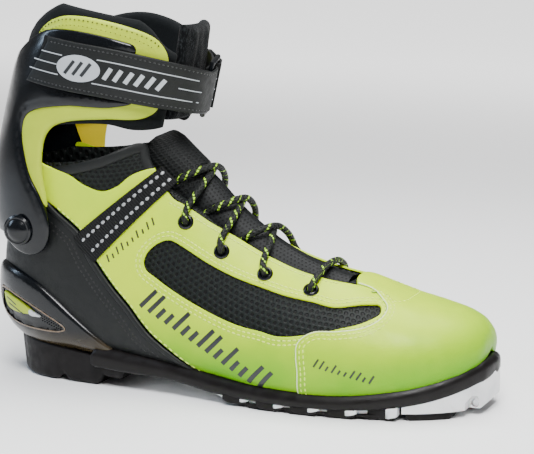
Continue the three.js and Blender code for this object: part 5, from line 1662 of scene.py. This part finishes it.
def build_strap():
    F = np.array([0, 0.004, 0.016, 0.04, *np.linspace(0.07, 0.93, 24), 0.96, 0.984, 0.996, 1])
    thin = np.clip(np.sqrt(np.clip(1 - (1 - np.minimum(F, 1 - F) / 0.02).clip(0) ** 2, 0, 1)), 0.12, 1)
    pressed = np.exp(-(((np.minimum(F, 1 - F) - 0.085) / 0.018) ** 2)) * 0.28
    bend = np.linspace(np.pi / 2, -np.pi / 2, 15)
    rings = []
    for f, k, press in zip(F, thin, pressed):
        end = strap_end(f)
        a_run = np.concatenate([end + (-0.3 - end) * np.linspace(0, 1, 70), np.linspace(-0.3, 0.042, 60)[1:]])
        centre = np.stack([a_run * GIRTH, strap_rise(a_run)], axis=1)
        curve = np.stack([0.042 * GIRTH + 2.0 * np.cos(bend), 8.0 + 2.5 * np.sin(bend)], axis=1)[1:]
        back = np.stack([np.linspace(0.04, 0.018, 6) * GIRTH, np.full(6, 5.5)], axis=1)
        path = np.concatenate([centre, curve, back])
        d = np.gradient(path, axis=0)
        n = np.stack([-d[:, 1], d[:, 0]], axis=1)
        n /= np.linalg.norm(n, axis=1, keepdims=True)
        half = np.full(len(path), 0.62 * k)
        half[0], half[-1] = half[0] * 0.3, half[-1] * 0.3
        outer, inner = path + n * (half - press)[:, None], path - n * half[:, None]
        ring = np.concatenate([outer, inner[::-1]])
        rings.append(strap_at(f, ring[:, 0] / GIRTH, ring[:, 1]))
    V = np.stack(rings)
    m, n = V.shape[:2]
    ix = np.arange(m * n).reshape(m, n)
    faces = [(ix[i, j], ix[i, (j + 1) % n], ix[i + 1, (j + 1) % n], ix[i + 1, j]) for i in range(m - 1)
        for j in range(n)]
    half_n = n // 2
    for i, flip in ((0, False), (m - 1, True)):
        for j in range(half_n - 1):
            q = (ix[i, j], ix[i, j + 1], ix[i, n - 2 - j], ix[i, n - 1 - j])
            faces.append(q[::-1] if flip else q)
    uv = np.stack([np.repeat(F * 27, n), np.tile(np.arange(n) * 1.6, m)], axis=1)
    return make_closed("strap_over", V.reshape(-1, 3), faces, strap_cloth, "strap_flap", uv, merge=1e-8,
        sharp=60)


strap = build_strap()
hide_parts("strap_over")


def strap_beads(name, rows, material, pitch, size, lift=0.66):
    P, Q, N = [], [], []
    for f in rows:
        a = np.arange(strap_end(f) + 0.02, 0.045, pitch / GIRTH)
        P.append(strap_at(f, a, strap_rise(a) + lift))
        Q.append(strap_at(f, a + 0.003, strap_rise(a + 0.003) + lift))
        N.append(shank.normal(strap_t(f, a), a))
    P, Q, N = map(np.concatenate, (P, Q, N))
    return beads(name, P, Q - P, N, size, material, "strap_flap")


strap_beads("strap_stitches", (0.085, 0.915), black_thread, 2.3, (0.72, 0.34, 0.3), 0.5)


def strap_print(name, lines, width, material, lift=0.6, thickness=0.16):
    """Printed lines on the strap, given as (x, f) points."""
    objects = []
    for k, line in enumerate(lines):
        share, knots = np.linspace(0, 1, 40), np.linspace(0, 1, len(line))
        x, f = (np.interp(share, knots, [p[k] for p in line]) for k in (0, 1))
        a = strap_a(x)
        c = np.stack([a * GIRTH, f * 27.0], axis=1)
        d = np.gradient(c, axis=0)
        n = np.stack([-d[:, 1], d[:, 0]], axis=1)
        n /= np.maximum(np.linalg.norm(n, axis=1, keepdims=True), 1e-9)
        rows = []
        for w, h in ((-0.5, -0.1), (-0.45, thickness), (0.45, thickness), (0.5, -0.1)):
            q = c + n * (w * width)
            aq, fq = q[:, 0] / GIRTH, q[:, 1] / 27.0
            rows.append(strap_at(fq, aq, strap_rise(aq) + lift + h))
        V = np.stack(rows, axis=1)
        m, r = V.shape[:2]
        ix = np.arange(m * r).reshape(m, r)
        faces = [(ix[i, j], ix[i, (j + 1) % r], ix[i + 1, (j + 1) % r], ix[i + 1, j]) for i in range(m - 1)
            for j in range(r)]
        faces += [tuple(ix[0]), tuple(ix[-1][::-1])]
        objects.append(make_closed(f"{name}_{k}", V.reshape(-1, 3), faces, material, "strap_flap",
            V.reshape(-1, 3)[:, [0, 2]], merge=1e-8))
    return objects


strap_print("strap_line_rear", [[(-3, 0.30), (17, 0.30)], [(-1, 0.5), (15, 0.5)], [(3, 0.70), (17, 0.70)]],
    0.6, grey_print)
strap_print("strap_line_front", [[(38, 0.74), (84.5, 0.74)], [(38, 0.26), (82.5, 0.26)],
    [(77, 0.5), (84, 0.5)]], 0.6, grey_print)
strap_print("strap_bars", [[(x, 0.38), (x + 2.6, 0.62)] for x in (44, 49.5, 55, 60, 65, 69.5)], 2.4,
    grey_print)


def strap_disc(name, x, f, rx, ry, material, lift, thickness=0.2):
    """A printed oval."""
    q = np.linspace(0, 2 * np.pi, 49)[:-1]
    a0 = float(strap_a(x))
    rows = []
    for r, h in ((1.0, -0.1), (0.985, thickness), (0.66, thickness), (0.33, thickness)):
        a, ff = a0 + r * rx * np.cos(q) / GIRTH, f + r * ry * np.sin(q) / 27.0
        rows.append(strap_at(ff, a, strap_rise(a) + lift + h))
    centre = strap_at(f, a0, strap_rise(np.array(a0)) + lift + thickness)
    V = np.concatenate([*rows, centre[None]])
    faces = [(k * 48 + i, k * 48 + (i + 1) % 48, (k + 1) * 48 + (i + 1) % 48, (k + 1) * 48 + i)
        for k in range(3) for i in range(48)]
    faces += [(144 + i, 144 + (i + 1) % 48, 192) for i in range(48)]
    faces.append(tuple(range(48))[::-1])
    return make_closed(name, V, faces, material, "strap_flap", V[:, [0, 2]], merge=1e-8)


strap_disc("strap_oval", 28, 0.5, 12.2, 7.3, grey_print, 0.58)
strap_print("strap_mark", [[(21, 0.36), (25, 0.64)], [(26, 0.36), (30, 0.64)], [(31, 0.36), (35, 0.64)]],
    2.0, black_print, lift=0.78)

eased("strap_under", tape, "cuff", 0.2)
eased("ring_tab", tape, "cuff", 0.2)
eased("ring", gloss, "ring", 0.5)


# ------------------------------------------------------------------ generic marks on the lime panels
TOE_PRINT = 2.36


def slanted_bars(x0, z0, x1, z1, heights, stroke, name, h=1.58, shear=0.35):
    """A row of slanted bars of different heights, in place of lettering."""
    along = np.array([x1 - x0, z1 - z0], float)
    step = np.linalg.norm(along) / len(heights)
    along /= np.linalg.norm(along)
    up = np.array([-along[1], along[0]])
    for k, height in enumerate(heights):
        low = np.array([x0, z0]) + along * step * (k + 0.5)
        tip = low + up * height + along * shear * height
        ribbon(f"{name}_{k}", foot, spline(foot.side(np.linspace(low, tip, 8)), 0.7), stroke, h, 0.14,
            black_print)


slanted_bars(57, 52, 136, 12, (13, 13, 7, 7, 13, 7, 7, 13, 13, 7, 13, 7, 7, 13, 13), 2.3, "side_mark")
slanted_bars(166, 29, 199, 21, (4.6, 4.6, 2.6, 4.6, 2.6, 2.6, 4.6, 4.6, 2.6, 4.6), 0.9, "toe_mark",
    h=TOE_PRINT)
slanted_bars(38, 73, 66, 97, (4.2, 2.6, 4.2, 4.2, 2.6, 2.6, 4.2, 2.6, 4.2, 4.2), 1.0, "tape_mark")

# ------------------------------------------------------------------ stage, lights and camera
bpy.ops.mesh.primitive_plane_add(size=40, location=(0.1, 0.5, 0))
floor = bpy.context.active_object
floor.name = "floor"
floor.data.materials.append(pale_floor())


def area(name, place, target, size, power, color=(1, 1, 1)):
    data = bpy.data.lights.new(name, "AREA")
    data.shape, data.size, data.size_y = "RECTANGLE", size[0], size[1]
    data.energy, data.color = power, color
    o = bpy.data.objects.new(name, data)
    o.location = place
    o.rotation_euler = (Vector(target) - Vector(place)).to_track_quat("-Z", "Y").to_euler()
    bpy.context.scene.collection.objects.link(o)
    return o


area("key", (0.45, -0.65, 1.05), (0.12, 0, 0.05), (0.55, 0.45), 26)
area("top", (0.15, 0.25, 1.2), (0.12, 0.05, 0), (1.0, 0.8), 24)
area("cool", (-0.75, -0.25, 0.55), (0, 0, 0.1), (0.1, 0.6), 3.2, (0.6, 0.78, 1.0))
world = bpy.data.worlds.new("studio")
bpy.context.scene.world = world
world.use_nodes = True
world.node_tree.nodes["Background"].inputs[0].default_value = (1, 1, 1, 1)
world.node_tree.nodes["Background"].inputs[1].default_value = 0.2

azimuth, elevation, reach, aim = math.radians(22), math.radians(10.53), 1.15, Vector((0.1208, 0, 0.0938))
camera_data = bpy.data.cameras.new("camera")
camera_data.lens, camera_data.sensor_width, camera_data.sensor_fit = 137.17, 36, "HORIZONTAL"
camera = bpy.data.objects.new("camera", camera_data)
away = Vector((math.sin(azimuth) * math.cos(elevation), -math.cos(azimuth) * math.cos(elevation),
    math.sin(elevation)))
camera.location = aim + away * reach
camera.rotation_euler = away.to_track_quat("Z", "Y").to_euler()
bpy.context.scene.collection.objects.link(camera)
bpy.context.scene.camera = camera
